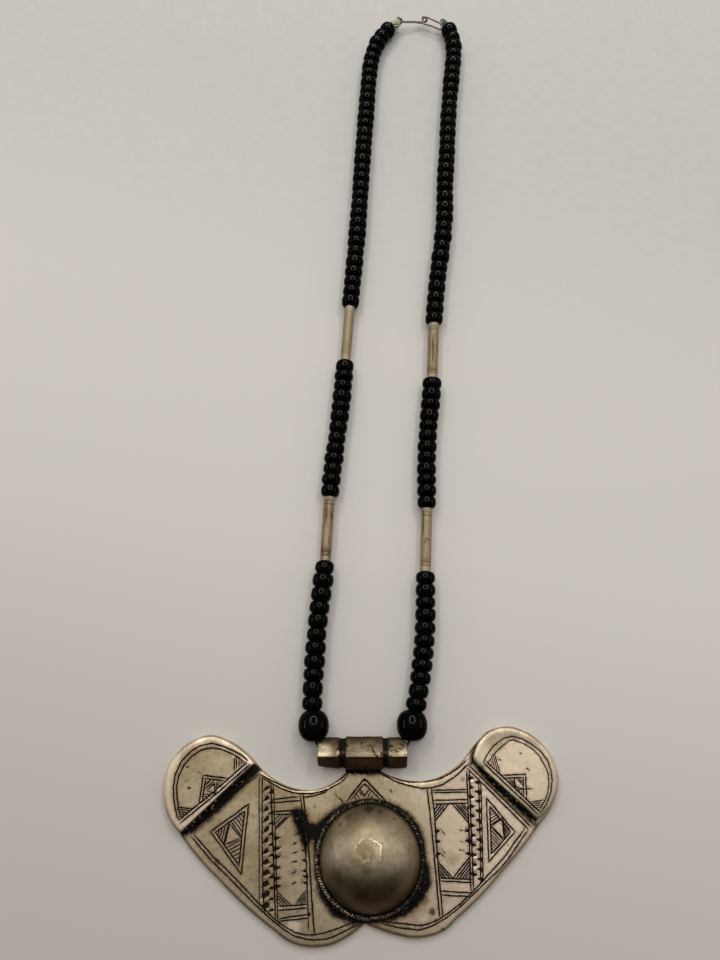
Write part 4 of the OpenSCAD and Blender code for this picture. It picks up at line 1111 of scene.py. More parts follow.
plate = engraved_sheet("pendant_plate", PLATE_EDGE, 0.0, PLATE_T, engrave_plate(), seed=3, sooty=True)
finish_piece(plate, PLATE_SILVER, "pendant")
for name, rows, strokes, seed, finish in (
        ("pendant_tip_left", LEFT_CAP, engrave_left_cap(), 5, LEFT_TIP_SILVER),
        ("pendant_tip_right", RIGHT_CAP, engrave_right_cap(), 6, RIGHT_TIP_SILVER)):
    cap = engraved_sheet(name, rows, PLATE_T / 2, PLATE_T + CAP_T, strokes, seed, polished=3.6, inset=CAP_INSET,
                         rim_w=CAP_RIM_W, rim_h=CAP_RIM_H, last_rim_w=CAP_STRAIGHT_RIM_W)
    finish_piece(cap, finish, "pendant")

# A blow has left a dent near the top of the dome. It falls gently from a sharp ridge, and rises smoothly from
# there to its other edge. Its full depth would be this far from the ridge and from the edge at once. No place in
# it is, and it gets about 0.23 mm deep.
DENT_RIDGE = [(-2.54, 2.9), (-1.43, 4.64), (0.01, 5.95), (2.08, 5.66), (3.83, 4.93), (4.63, 4.2), (4.46, 2.76),
              (4.28, 0.74)]
DENT_EDGE = [(4.28, 0.74), (3.2, -0.9), (1.42, -1.55), (-0.79, -0.12), (-2.2, 1.6), (-2.54, 2.9)]
DENT_DEEP = 0.34
DENT_FROM_RIDGE = 4.2
DENT_FROM_EDGE = 5.6
# The ridge stands up by this much, and the highlight painted along its top is narrower than its foot.
RIDGE_HIGH = 0.07
RIDGE_FOOT_W = 0.26
RIDGE_HIGHLIGHT_W = 0.17
# The dome is beaten: how uneven it is, how many bumps to a millimetre, and where their pattern starts.
DOME_UNEVEN = [(0.13, 0.16, 4.0), (0.03, 0.6, 8.0)]
# The foot lies under the collar and goes down into the solder. The rings of points crowd towards it, as they would
# on a ball that is seen from above, down to this many degrees.
DOME_FOOT = DOME_R + 0.3
FOOT_SUNK = 0.1
DOME_RINGS = 60
DOME_SPOKES = 160
DOME_SWEEP = 88.2


def dome_heights(points):
    """Height of the dome over the plate at each point, from the dome's middle, and how near the dent's ridge is, from
    0 to 1, for the highlight painted along it."""
    ball = (DOME_FOOT ** 2 + DOME_H ** 2) / (2 * DOME_H)
    r2 = (points ** 2).sum(1)
    h = np.sqrt(np.maximum(0, ball ** 2 - r2)) - (ball - DOME_H)
    here = points + np.array([DOME.x, DOME.y])
    ridge, edge = np.array(DENT_RIDGE), np.array(DENT_EDGE)
    from_ridge = path_distance(here, ridge)
    rise = np.clip(path_distance(here, edge) / DENT_FROM_EDGE, 0, 1)
    dent = np.minimum(np.minimum(1, from_ridge / DENT_FROM_RIDGE), rise * rise * (3 - 2 * rise))
    h -= inside_loop(here, np.vstack([ridge, edge[1:-1]])) * DENT_DEEP * dent
    h += RIDGE_HIGH * np.exp(-(from_ridge / RIDGE_FOOT_W) ** 2)
    uneven = np.array([sum(high * noise.noise(Vector((x * per_mm, y * per_mm, start)))
                           for high, per_mm, start in DOME_UNEVEN) for x, y in points])
    heights = np.maximum(0, h + uneven * (1 - (r2 / DOME_FOOT ** 2) ** 2))
    return heights, np.exp(-(from_ridge / RIDGE_HIGHLIGHT_W) ** 2)


def raise_dome():
    """The dome, with its foot and a flat underside, and a highlight painted along the dent's ridge."""
    flat = [(0.0, 0.0)]
    for i in range(1, DOME_RINGS + 1):
        r = DOME_FOOT * math.sin(math.radians(DOME_SWEEP * i / DOME_RINGS)) / math.sin(math.radians(DOME_SWEEP))
        flat += [(r * math.cos(math.tau * k / DOME_SPOKES), r * math.sin(math.tau * k / DOME_SPOKES))
                 for k in range(DOME_SPOKES)]
    heights, ridge = dome_heights(np.array(flat))
    verts = [(x + DOME.x, y + DOME.y, PLATE_T + h) for (x, y), h in zip(flat, heights)]
    verts += [(x, y, PLATE_T - FOOT_SUNK) for x, y, _ in verts[-DOME_SPOKES:]]
    faces = [(0, 1 + k, 1 + (k + 1) % DOME_SPOKES) for k in range(DOME_SPOKES)]
    faces += [tuple(1 + k for k in flipped(face)) for face in quads(DOME_RINGS + 1, DOME_SPOKES)]
    faces.append(tuple(reversed(range(len(verts) - DOME_SPOKES, len(verts)))))
    dome = new_object("pendant_dome", verts, faces)
    # Painted highlight: the ridge is painted bright on the far side of the dent, in places, and fades out towards the
    # left.
    broken = np.array([0.85 + 0.9 * noise.noise(Vector((x * 1.3, y * 1.3, 6.0))) for x, y in flat])
    fading = np.clip((np.array(flat)[:, 0] + DOME.x + 3.2) / 2.6, 0.15, 1)
    bright = np.zeros(len(verts), np.float32)
    bright[:len(flat)] = ridge * fading * np.clip(broken, 0.2, 1)
    paint(dome, "polish", bright)
    return dome


finish_piece(raise_dome(), DOME_SILVER, "pendant")

# The collar is two strands of wire twisted together and bent round the dome. It is sunk a little into the solder.
TWISTS = 60
POINTS_IN_TWIST = 12
STRAND = 0.72
STRAND_OUT = 0.31
COLLAR_SUNK = 0.2


def twisted_ring(phase):
    """The middle line of one strand of the collar."""
    points = []
    for i in range(TWISTS * POINTS_IN_TWIST):
        a = math.tau * i / (TWISTS * POINTS_IN_TWIST)
        turn = a * TWISTS + phase
        r = DOME_R + COLLAR_WIRE / 2 + STRAND_OUT * math.cos(turn)
        z = PLATE_T + COLLAR_WIRE / 2 - COLLAR_SUNK + STRAND_OUT * math.sin(turn)
        points.append((DOME.x + r * math.cos(a), DOME.y + r * math.sin(a), z))
    return points


collar = wires("pendant_collar", [twisted_ring(0), twisted_ring(math.pi)], STRAND, 8, COLLAR_SILVER, closed=True)
finish_piece(collar, COLLAR_SILVER, "pendant")

# Rows of points from the inner line of a bank of solder to its outer one, and how far it is sunk into the plate.
MOUND_ROWS = 6
MOUND_SUNK = 0.12


def mound(name, inner, outer, high, seed):
    """A lumpy bank of solder between two lines of points. Along the inner one it is highest, with a height for each
    point."""
    verts, faces = [], []
    n = len(inner)
    for j in range(MOUND_ROWS + 1):
        f = j / MOUND_ROWS
        for i in range(n):
            ragged = 1 + 0.5 * noise.noise(Vector((inner[i].x * 0.7, inner[i].y * 0.7, seed)))
            p = inner[i].lerp(inner[i] + (outer[i] - inner[i]) * ragged, f)
            lump = noise.noise(Vector((p.x * 1.1, p.y * 1.1, seed + 5.0)))
            z = PLATE_T + high[i] * (1 - f) ** 1.5 * (1 + 0.45 * lump) + 0.1 * (1 - f ** 3) * (1 + lump) - 0.04
            verts.append((p.x, p.y, z))
    for j in range(MOUND_ROWS):
        for i in range(n - 1):
            a = j * n + i
            faces.append((a, a + n, a + n + 1, a + 1))
    under = len(verts)
    verts += [(x, y, PLATE_T - MOUND_SUNK) for x, y, _ in verts]
    faces += [tuple(reversed([k + under for k in f])) for f in faces]
    # The wall between the two, along the first row, the ends of all rows, the last row, and back.
    rim = [*range(n), *range(2 * n - 1, under, n), *range(under - 2, MOUND_ROWS * n - 1, -1),
           *range((MOUND_ROWS - 1) * n, 0, -n)]
    faces += [(rim[i - 1], under + rim[i - 1], under + rim[i], rim[i]) for i in range(len(rim))]
    made = new_object(name, verts, faces)
    face_outwards(made)
    return made


# The solder round the dome starts under the collar and ends inside the soot.
RING_SOLDER_STEPS = 288
RING_SOLDER_START = DOME_R + 1.0
RING_SOLDER_SHORT = 1.1
RING_SOLDER_HIGH = 0.55


def ring_solder():
    """The bank of solder round the dome's collar."""
    inner, outer = [], []
    for i in range(RING_SOLDER_STEPS, -1, -1):
        a = 360 * i / RING_SOLDER_STEPS
        way = Vector((math.cos(math.radians(a)), math.sin(math.radians(a))))
        inner.append(DOME + way * RING_SOLDER_START)
        outer.append(DOME + way * (float(np.interp(a, *zip(*RING_SPREAD))) - RING_SOLDER_SHORT))
    return mound("pendant_ring_solder", inner, outer, [RING_SOLDER_HIGH] * len(inner), 2)


# How far apart the points along a bank of solder are.
BANK_STEP = 0.5


def bank(name, line, width, high, side, seed):
    """Solder along a line, spreading to one side of it. Its width is given at places from 0 to 1 along it."""
    path = finer(line, BANK_STEP)
    outer, heights = [], []
    total = len(path) - 1
    for i, p in enumerate(path):
        t = direction(path, i)
        wide = float(np.interp(i / total, *zip(*width)))
        outer.append(p + Vector((-t.y, t.x)) * wide * side)
        heights.append(high * min(1, 4 * min(i, total - i) / total + 0.3))
    return mound(name, path, outer, heights, seed)


# Solder that ran out over the left panel.
LUMP = [(-18.9, 11.3), (-17.4, 10.9), (-16.5, 9.4), (-15.7, 7.4), (-15.2, 5.4), (-15.2, 3.6)]

for made in (
        ring_solder(),
        bank("pendant_tip_solder_left", [(-29.4, 23.4), (-38.9, 14.7), (-48.4, 6.1)],
             [(0, 0.7), (0.1, 1.2), (0.3, 1.4), (0.55, 1.6), (0.8, 1.2), (0.95, 1.1), (1, 0.6)], 0.8, 1, 11),
        bank("pendant_tip_solder_right", [(30.0, 25.2), (30.6, 23.5), (32, 22.2), (39.4, 15.7), (46.6, 9.4)],
             [(0, 0.3), (0.12, 0.7), (0.3, 1.1), (0.6, 1.2), (0.9, 1.2), (1, 0.6)], 0.8, -1, 12),
        bank("pendant_solder_lump", LUMP,
             [(0, 0.2), (0.25, 1.2), (0.5, 1.3), (0.75, 1.2), (1, 0.3)], 0.6, -1, 13),
        bank("pendant_solder_lump_side", LUMP,
             [(0, 0.1), (0.25, 1.0), (0.5, 1.1), (0.75, 1.3), (1, 0.3)], 0.6, 1, 14),
        bank("pendant_neck_solder", [(5.0, 22.3), (2, 22.6), (-2, 22.6), (-4.8, 22.3)],
             [(0, 0.9), (0.3, 1.9), (0.7, 1.9), (1, 0.9)], 1.6, 1, 15)):
    finish_piece(made, SOLDER, "pendant")

# ---------------------------------------------------------------- the bail

# A square tube with a sleeve round its middle. It lies on an edge, and is rolled over from there by some degrees.
# Its edges are worn round. The solids are this many times as wide across them as across the sides, and its middle
# is put at the solids' height.
BAIL_SIDE = 6.3
SLEEVE_SIDE = 6.6
BAIL_WALL = 0.8
WORN_CORNER = 1.33
BAIL_ROLL = 9.6
BAIL_Y = 26.3
BAIL_Z = SLEEVE_SIDE * WORN_CORNER / 2
# Along the bail: x, and the side of the square there. The two dips beside the sleeve are full of tarnish.
BAIL_ROWS = [(-12.1, 6.0), (-11.95, 6.25), (-11, 6.3), (-9, 6.32), (-7.2, 6.3), (-6.4, 6.25), (-6.25, 5.95),
             (-5.4, 5.85), (-4.65, 5.95), (-4.5, 6.5), (-4.3, 6.62), (-2, 6.6), (0.5, 6.64), (3, 6.6),
             (5.1, 6.62), (5.3, 6.5), (5.42, 5.95), (6.0, 5.85), (6.55, 5.95), (6.7, 6.25), (8, 6.3), (10, 6.3),
             (11.65, 6.25), (11.8, 6.0)]
BAIL_STEP = 0.5
# Only what lies between these two places counts as a dip, and it is black where the square is this much smaller.
GROOVES = (-7, 7.2)
GROOVE_DEEP = 0.15
# Where the bail ends towards the clasp and towards the dome: x, and y there.
NORTH_LIMIT = [(-12.3, 28.6), (-11.8, 29.3), (-11.2, 29.8), (-10.2, 30.2), (-8.6, 30.6), (9.3, 30.6), (10.6, 30.1),
               (11.3, 29.4), (11.7, 28.7), (12, 27.9)]
SOUTH_LIMIT = [(-12.2, 23.3), (-11.6, 22.9), (-4.6, 21.9), (10.8, 21.9), (11.6, 22.5), (12, 23.2)]
SECTION_POINTS = 56
# How dark the bail is painted inside, where 1 is black.
INSIDE_DARK = 0.8


def square_reach(turn, side):
    """How far the worn square's outline lies from its middle, at an angle in radians."""
    return side / 2 / (abs(math.cos(turn)) ** 8 + abs(math.sin(turn)) ** 8) ** 0.125


def groove_black(x, side, y):
    """How black a groove is. Wear has brightened both where they cross the top edge."""
    groove = max(0, min(1, (BAIL_SIDE - side) / GROOVE_DEEP)) if GROOVES[0] < x < GROOVES[1] else 0
    worn = math.exp(-((y - BAIL_Y - 0.4) / 0.7) ** 2) * (0.75 + noise.noise(Vector((x * 2, y, 3))))
    return groove * (1 - min(1, 1.1 * worn))


def fold_bail():
    """The bail, open at both ends, with its dark grooves."""
    rows = []
    for (x0, s0), (x1, s1) in zip(BAIL_ROWS, BAIL_ROWS[1:]):
        n = max(1, round((x1 - x0) / BAIL_STEP))
        rows += [(x0 + (x1 - x0) * i / n, s0 + (s1 - s0) * i / n) for i in range(n)]
    rows.append(BAIL_ROWS[-1])
    roll = math.radians(45 + BAIL_ROLL)
    verts, dark = [], []
    for outside in (True, False):
        for x, side in rows:
            for k in range(SECTION_POINTS):
                a = math.tau * k / SECTION_POINTS
                reach = square_reach(a, side if outside else BAIL_SIDE - 2 * BAIL_WALL)
                if outside:
                    reach += 0.07 * noise.noise(Vector((x * 0.5, math.cos(a) * 2, math.sin(a) * 2)))
                y = min(BAIL_Y + reach * math.cos(a + roll), float(np.interp(x, *zip(*NORTH_LIMIT))))
                y = max(y, float(np.interp(x, *zip(*SOUTH_LIMIT))))
                verts.append((x, y, BAIL_Z + reach * math.sin(a + roll)))
                dark.append(groove_black(x, side, y) if outside else INSIDE_DARK)
    n, m = len(rows), SECTION_POINTS
    faces = quads(n, m)
    faces += [tuple(n * m + k for k in reversed(face)) for face in faces]
    for k in range(m):
        j = (k + 1) % m
        last, inner = (n - 1) * m, (2 * n - 1) * m
        faces += [(j, k, n * m + k, n * m + j), (last + k, last + j, inner + j, inner + k)]
    bail = new_object("pendant_bail", verts, faces)
    face_outwards(bail)
    for label, deep in (("patina", 1), ("soot", 1.5)):
        paint(bail, label, np.array(dark, np.float32) * deep)
    bail.data.set_sharp_from_angle(angle=math.radians(30))
    return bail


finish_piece(fold_bail(), BAIL_SILVER, "pendant")

# ---------------------------------------------------------------- beads and tubes

# The way the string runs through a bead that is alone in its node.
UP_FROM_BAIL = (0, 1, 0)


def loose_parts(node):
    """Each loose solid of a CAD node as an array of points in millimetres."""
    copy = bmesh.new()
    copy.from_mesh(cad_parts[node].data)
    bmesh.ops.remove_doubles(copy, verts=copy.verts, dist=1e-6)
    copy.verts.ensure_lookup_table()
    seen, parts = set(), []
    for first in copy.verts:
        if first.index in seen:
            continue
        stack, part = [first], []
        seen.add(first.index)
        while stack:
            v = stack.pop()
            part.append(tuple(v.co / MM))
            for e in v.link_edges:
                other = e.other_vert(v)
                if other.index not in seen:
                    seen.add(other.index)
                    stack.append(other)
        parts.append(np.array(part))
    copy.free()
    return parts


def measure(part, axis):
    """Middle of a round solid, its length along its axis and its width across it."""
    middle = (part.min(0) + part.max(0)) / 2
    axis = np.array(axis)
    along = (part - middle) @ axis
    off = (part - middle) - np.outer(along, axis)
    return Vector(middle + axis * (along.min() + along.max()) / 2), np.ptp(along), \
        2 * np.sqrt((off ** 2).sum(1)).max()


def in_order(parts):
    """The solids of one string from the bail up, each with the direction of the string there."""
    parts = sorted(parts, key=lambda part: part[:, 1].min() + part[:, 1].max())
    middles = [Vector((part.min(0) + part.max(0)) / 2) for part in parts]
    if len(parts) == 1:
        return [(parts[0], Vector(UP_FROM_BAIL))]
    return [(part, direction(middles, i)) for i, part in enumerate(parts)]


# Points round a bead and along its wall, the size of its bore where the bead is 1 across, and the places of the
# rows inside the bore.
BEAD_SPOKES = 26
BEAD_ARC = 13
BEAD_BORE = 0.15
BORE_ROWS = (0.48, 0, -0.48)


def bead_shape(flat, square):
    """A drilled bead of length 1 and width 1 round the Z axis. Its wall bulges by flat, and a lower square gives
    it squarer shoulders."""
    verts = []
    for k in range(BEAD_SPOKES):
        a = math.tau * k / BEAD_SPOKES
        section = []
        for j in range(BEAD_ARC):
            t = math.radians(-90 + 180 * j / (BEAD_ARC - 1))
            r = max(BEAD_BORE, 0.5 - flat + flat * max(0, math.cos(t)) ** square)
            section.append((r, 0.5 * math.copysign(abs(math.sin(t)) ** square, t)))
        section += [(BEAD_BORE, z) for z in BORE_ROWS]
        verts += [Vector((r * math.cos(a), r * math.sin(a), z)) / MM for r, z in section]
    faces = quads(BEAD_SPOKES, BEAD_ARC + len(BORE_ROWS), joined=True)
    return new_object("bead_shape", verts, [flipped(face) for face in faces])


# How many lumps there are to a metre in the glass.
GLASS_LUMPS = 260.0


def string_beads(name, node, shape, stretch, swell, unevenness, seed):
    """A bead on each place of the node's beads. Real ones differ a little in size, and touch."""
    rng = random.Random(seed)
    points, turns, sizes = [], [], []
    for part, axis in in_order(loose_parts(node)):
        middle, length, width = measure(part, axis)
        turn = axis.to_track_quat("Z", "Y") @ Matrix.Rotation(rng.uniform(0, math.tau), 3, "Z").to_quaternion()
        wide = swell * rng.uniform(0.98, 1.04)
        points.append(middle + Vector((0, 0, max(0, wide - 1) * width / 2)))
        turns.append(turn.to_euler())
        sizes.append((width * wide * MM * rng.uniform(0.99, 1.01), width * wide * MM * rng.uniform(0.99, 1.01),
                      length * stretch * MM))
    mesh = bpy.data.meshes.new("bead_points")
    mesh.from_pydata([p * MM for p in points], [], [])
    for label, values in (("turn", turns), ("size", sizes)):
        held = mesh.attributes.new(label, "FLOAT_VECTOR", "POINT")
        held.data.foreach_set("vector", np.array([tuple(v) for v in values], np.float32).ravel())
    strung = grow(put("bead_points", mesh), name, BEAD_TREE,
                  **{"Bead": shape, "Unevenness": unevenness * MM, "Lumps per metre": GLASS_LUMPS,
                     "Seed": float(seed), "Material": GLASS})
    finish_piece(strung, GLASS, node)


small_shape = bead_shape(0.25, 0.84)
large_shape = bead_shape(0.42, 0.9)
string_beads("small_beads_left", "beads_left", small_shape, 1.05, 1.0, 0.25, 11)
string_beads("small_beads_right", "beads_right", small_shape, 1.05, 1.01, 0.25, 12)
string_beads("large_bead_by_bail_left", "large_bead_left", large_shape, 1.07, 1.03, 0.3, 13)
string_beads("large_bead_by_bail_right", "large_bead_right", large_shape, 1.06, 1.02, 0.3, 14)
for shape in (small_shape, large_shape):
    bpy.data.objects.remove(shape)

TUBE_WALL = 0.5
TUBE_SPOKES = 56
# Two rings are pressed in near each end of a tube: how far from the end each is, and half its width at the surface
# and at its bottom.
RINGS_FROM_END = (2.5, 1.5)
RING_HALF = 0.3
RING_BOTTOM_HALF = 0.08
# Rows of points along the plain stretch between the rings, which starts this far from the ends.
PLAIN_ROWS = 15
PLAIN_FROM_END = 4
# The spokes crowd towards the seam, which is much finer than the rest.
CROWDING = 1.6
# The seam: half its width in radians, how much of that it gains where it gapes, and how deep it is. Where it is
# shut it has only a part of its depth, and it shuts over a part of the tube's length.
SEAM_W = 0.045
GAPING_W = 0.02
SEAM_DEEP = 0.16
SHUT_DEPTH = 0.16
SEAM_SHUTS = 0.12
# The step beside the seam fades out over this much of a turn, in radians.
STEP_REACH = 1.2
# The ends of a tube are polished to this far in.
END_POLISH = 2.6


def tube_rows(half, radius, rings):
    """The rows of points along a tube: z, and the radius there."""
    rows = [(-half, radius - 0.06), (-half + 0.08, radius)]
    for place in (half - from_end for from_end in RINGS_FROM_END):
        rows += [(-place - RING_HALF, radius), (-place - RING_BOTTOM_HALF, radius - rings),
                 (-place + RING_BOTTOM_HALF, radius - rings), (-place + RING_HALF, radius)]
    rows.sort()
    other_end = [(-z, r) for z, r in reversed(rows)]
    start, span = -half + PLAIN_FROM_END, (half - PLAIN_FROM_END) * 2
    return rows + [(start + span * i / (PLAIN_ROWS - 1), radius) for i in range(PLAIN_ROWS)] + other_end


def roll_tube(name, node, seam, step, gap_from, gap_to, rings, finish=TUBE_SILVER, swell=1.0):
    """Sheet rolled to a tube: its edges meet in a seam at an angle round it, one edge standing out by step. The seam
    gapes between two places along the tube, from its lower end at 0 to its upper end at 1. Two rings as deep as rings
    are pressed in near each end."""
    part = loose_parts(node)[0]
    axis = Vector(np.linalg.eigh(np.cov((part - part.mean(0)).T))[1][:, 2])
    if axis.y < 0:
        axis.negate()
    middle, length, width = measure(part, axis)
    half, radius = length / 2, width / 2 * swell
    rows = tube_rows(half, radius, rings)
    verts, dark, bright = [], [], []
    for z, r in rows:
        gape = min(1, max(0, min(z / length + 0.5 - gap_from, gap_to - z / length - 0.5) / SEAM_SHUTS))
        for k in range(TUBE_SPOKES):
            u = 2 * k / TUBE_SPOKES - 1
            off = math.pi * math.copysign(abs(u) ** CROWDING, u)
            a = seam + off
            wander = off - 0.08 * noise.noise(Vector((z * 0.35, seam, 2)))
            groove = math.exp(-(wander / (SEAM_W + GAPING_W * gape)) ** 2) * (SHUT_DEPTH + (1 - SHUT_DEPTH) * gape)
            rise = step * max(0, 1 - abs(off) / STEP_REACH) * (1 if off > 0 else 0)
            bent = r - SEAM_DEEP * groove + rise - 0.05 + 0.05 * noise.noise(Vector((z * 0.3, math.cos(a), seam)))
            verts.append(Vector((bent * math.cos(a), bent * math.sin(a), z)))
            dark.append(max(groove * 0.8, (radius - r) * 1.2 if abs(z) < half - 0.5 else 0))
            bright.append(max(0, 1 - (half - abs(z)) / END_POLISH))
    inner = radius - TUBE_WALL
    turns = [math.atan2(v.y, v.x) for v in verts[:TUBE_SPOKES]]
    # Inside, the bore is painted as dark as a blackened cut.
    for z in (half, -half):
        verts += [Vector((inner * math.cos(a), inner * math.sin(a), z)) for a in turns]
        dark += [0.9] * TUBE_SPOKES
        bright += [0] * TUBE_SPOKES
    turn = axis.to_track_quat("Z", "Y").to_matrix()
    tube = new_object(name, [middle + turn @ v for v in verts], quads(len(rows) + 2, TUBE_SPOKES, joined=True))
    paint(tube, "patina", dark)
    paint(tube, "polish", bright)
    tube.data.set_sharp_from_angle(angle=math.radians(35))
    finish_piece(tube, finish, node)


roll_tube("tube_lower_left", "tube_bead_lower_left", math.radians(126), 0.07, 0.62, 0.78, 0.13, BROWNED_SILVER)
roll_tube("tube_upper_left", "tube_bead_upper_left", math.radians(200), 0.03, 0.3, 0.7, 0.03)
roll_tube("tube_lower_right", "tube_bead_lower_right", math.radians(48), 0.06, 0.5, 0.95, 0.1)
roll_tube("tube_upper_right", "tube_bead_upper_right", math.radians(84), 0.04, 0.25, 0.78, 0.1, swell=1.06)

# ---------------------------------------------------------------- thread and clasp

# The thread is three plies twisted together: how thick each is, how far out it lies, and the length of a turn.
PLY = 0.42
PLY_OUT = 0.2
PLY_TURN = 2.6
# Where it leaves the knots, and the way it takes through the bail.
FROM_LEFT_KNOT = (11.9, 277.8, 3)
FROM_RIGHT_KNOT = (30.4, 278.1, 3)
THROUGH_BAIL = [(-12.75, 29.2, 4.2), (-12.0, 28.1, 4.4), (-10, 27, 4.4), (0, 26.4, 4.4), (10, 27, 4.4),
                (11.7, 28.1, 4.4), (12.6, 29.3, 4.2)]
# A solid longer than this is a tube. The thread runs straight through most of it.
LONG_SOLID = 8
STRAIGHT_IN_TUBE = 0.4


def thread_way():
    """The thread's middle, from the left knot down to the bail, through it, and up to the right knot."""
    strings = []
    for side in ("left", "right"):
        nodes = ("large_bead_" + side, "beads_" + side, "tube_bead_lower_" + side, "tube_bead_upper_" + side)
        way = []
        for part, axis in in_order([part for node in nodes for part in loose_parts(node)]):
            middle, length, _ = measure(part, axis)
            run = axis * length * STRAIGHT_IN_TUBE
            way += [middle - run, middle, middle + run] if length > LONG_SOLID else [middle]
        strings.append(way)
    left, right = strings
    return smooth_way([FROM_LEFT_KNOT, *reversed(left), *THROUGH_BAIL, *right, FROM_RIGHT_KNOT], 10)


def plies(way):
    """Strands that wind round a way, evenly spaced round it."""
    strands = [[], [], []]
    turned = 0.0
    for i, p in enumerate(way):
        along = direction(way, i)
        aside = along.cross(Vector((0, 0, 1))).normalized()
        above = aside.cross(along)
        for k, strand in enumerate(strands):
            a = turned + k * math.tau / 3
            strand.append(p + (aside * math.cos(a) + above * math.sin(a)) * PLY_OUT)
        turned += math.tau * (way[min(i + 1, len(way) - 1)] - p).length / PLY_TURN
    return strands


thread = wires("string_plies", plies(thread_way()), PLY, 7, STRING_COTTON)
finish_piece(thread, STRING_COTTON, "thread")

EYE_WIRE = 0.62
EYE_WAY = [(29.7, 278.0, 2.9), (28.5, 278.8, 2.9), (26.2, 280.1, 3), (24.8, 280.9, 3), (23.8, 281.4, 3),
           (23, 281.4, 3), (22.4, 280.6, 3), (22.2, 279.4, 3), (22.6, 278.5, 2.9), (23.9, 278.2, 2.8),
           (26.0, 277.4, 2.7), (27.9, 276.5, 2.6), (28.7, 276.15, 2.6), (29.0, 276.5, 2.7), (29.1, 277.3, 2.9),
           (29.6, 278.1, 3)]
# The hook's two wires lie side by side, each this far from the way between them, and meet in a bend at its end.
HOOK_WIRE = 0.43
HOOK_WAY = [(14.7, 279.3, 3), (16.8, 279.4, 2.8), (19.3, 279.9, 2.4), (21, 280, 2.05), (22.3, 280.1, 2),
            (23.3, 280.15, 2.25), (23.9, 280.15, 3), (23.5, 280.15, 3.75), (22.8, 280.2, 4),
            (22.2, 280.3, 3.9)]
HOOK_FLAT = Vector((-0.2, 0.98, 0))
HOOK_HALF = 0.27


def double_wire(way):
    """The way of a wire that is doubled back along another way."""
    ahead = [direction(way, i) for i in range(len(way))]
    sides = [(HOOK_FLAT - t * HOOK_FLAT.dot(t)).normalized() for t in ahead]
    bend = [way[-1] + HOOK_HALF * (math.cos(math.radians(a)) * ahead[-1] + math.sin(math.radians(a)) * sides[-1])
            for a in (60, 30, 0, -30, -60)]
    back = [p - s * HOOK_HALF for p, s in zip(way, sides)]
    return [p + s * HOOK_HALF for p, s in zip(way, sides)] + bend + back[::-1]


eye = wires("clasp_loop", [smooth_way(EYE_WAY)], EYE_WIRE, 12, WIRE)
finish_piece(eye, WIRE, "clasp_eye")
hook = wires("clasp_doubled_hook", [double_wire(smooth_way(HOOK_WAY))], HOOK_WIRE, 10, WIRE)
finish_piece(hook, WIRE, "clasp_hook")


# Pieces that each strand of a knot is made of, and points on an overhand knot.
STRAND_PIECES = 12
KNOT_POINTS = 60


def bundle(start, end, r0, r1, strands, twist, seed):
    """Strands of thread laid over a cone between two points, with a little twist."""
    rng = random.Random(seed)
    start, end = Vector(start), Vector(end)
    axis = (end - start).normalized()
    u = axis.orthogonal().normalized()
    v = axis.cross(u)
    paths = []
    for k in range(strands):
        a0 = math.tau * k / strands + rng.uniform(-0.12, 0.12)
        path = []
        for i in range(STRAND_PIECES + 1):
            f = i / STRAND_PIECES
            a = a0 + twist * f + 0.12 * math.sin(f * 5 + k)
            r = (r0 + (r1 - r0) * f) * (0.72 + 0.28 * math.sin(math.pi * min(1, f * 2.2 + 0.12) / 2))
            path.append(start.lerp(end, f) + (u * math.cos(a) + v * math.sin(a)) * r)
        paths.append(path)
    return paths


def overhand(middle, axis, size):
    """A small overhand knot: a three-lobed closed loop."""
    middle, axis = Vector(middle), Vector(axis).normalized()
    u = axis.orthogonal().normalized()
    v = axis.cross(u)
    path = []
    for i in range(KNOT_POINTS):
        a = math.tau * i / KNOT_POINTS
        r = 1 + 0.5 * math.cos(3 * a)
        path.append(middle + size * (u * r * math.cos(2 * a) + v * r * math.sin(2 * a)
                                     + axis * 0.7 * math.sin(3 * a)))
    return path


# Each knot is a wrapping of strands and a tie of overhand knots.
for name, node, paths, thickness, finish, closed in (
        ("knot_left_strands", "knot_left",
         bundle((10.9, 276.9, 3), (13.7, 279.5, 3), 1.95, 0.85, 17, 0.7, 4)
         + bundle((10.8, 276.8, 3), (13.6, 279.4, 3), 1.4, 0.5, 9, 0.5, 6), 0.62, PALE_COTTON, False),
        ("knot_left_tie", "knot_left",
         [overhand((13.5, 279.6, 3.5), (1, 1, 0.3), 0.56), overhand((14.2, 279.3, 3.3), (1, 0.2, 0), 0.5),
          overhand((13.8, 278.8, 3.4), (0.7, -0.4, 1), 0.42)], 0.52, GREEN_COTTON, True),
        ("knot_right_strands", "knot_right",
         bundle((30.9, 277.5, 3), (29.4, 279.8, 3), 1.15, 0.7, 10, 1.2, 5), 0.5, GREEN_COTTON, False),
        ("knot_right_tie", "knot_right",
         [overhand((29.3, 279.6, 3.2), (-0.4, 1, 0.2), 0.45),
          overhand((29.1, 278.4, 3.1), (1, -0.6, 0.2), 0.42)], 0.42, PALE_COTTON, True)):
    finish_piece(wires(name, paths, thickness, 8, finish, closed), finish, node)

# ---------------------------------------------------------------- floor and light

# How far the floor reaches, in metres.
FLOOR_REACH = 3.0

floor_mesh = bpy.data.meshes.new("floor")
floor_mesh.from_pydata([(x * FLOOR_REACH, y * FLOOR_REACH, 0) for x, y in ((-1, -1), (1, -1), (1, 1), (-1, 1))],
                       [], [(0, 1, 2, 3)])
floor = put("floor", floor_mesh)
floor.data.materials.append(matt_card())

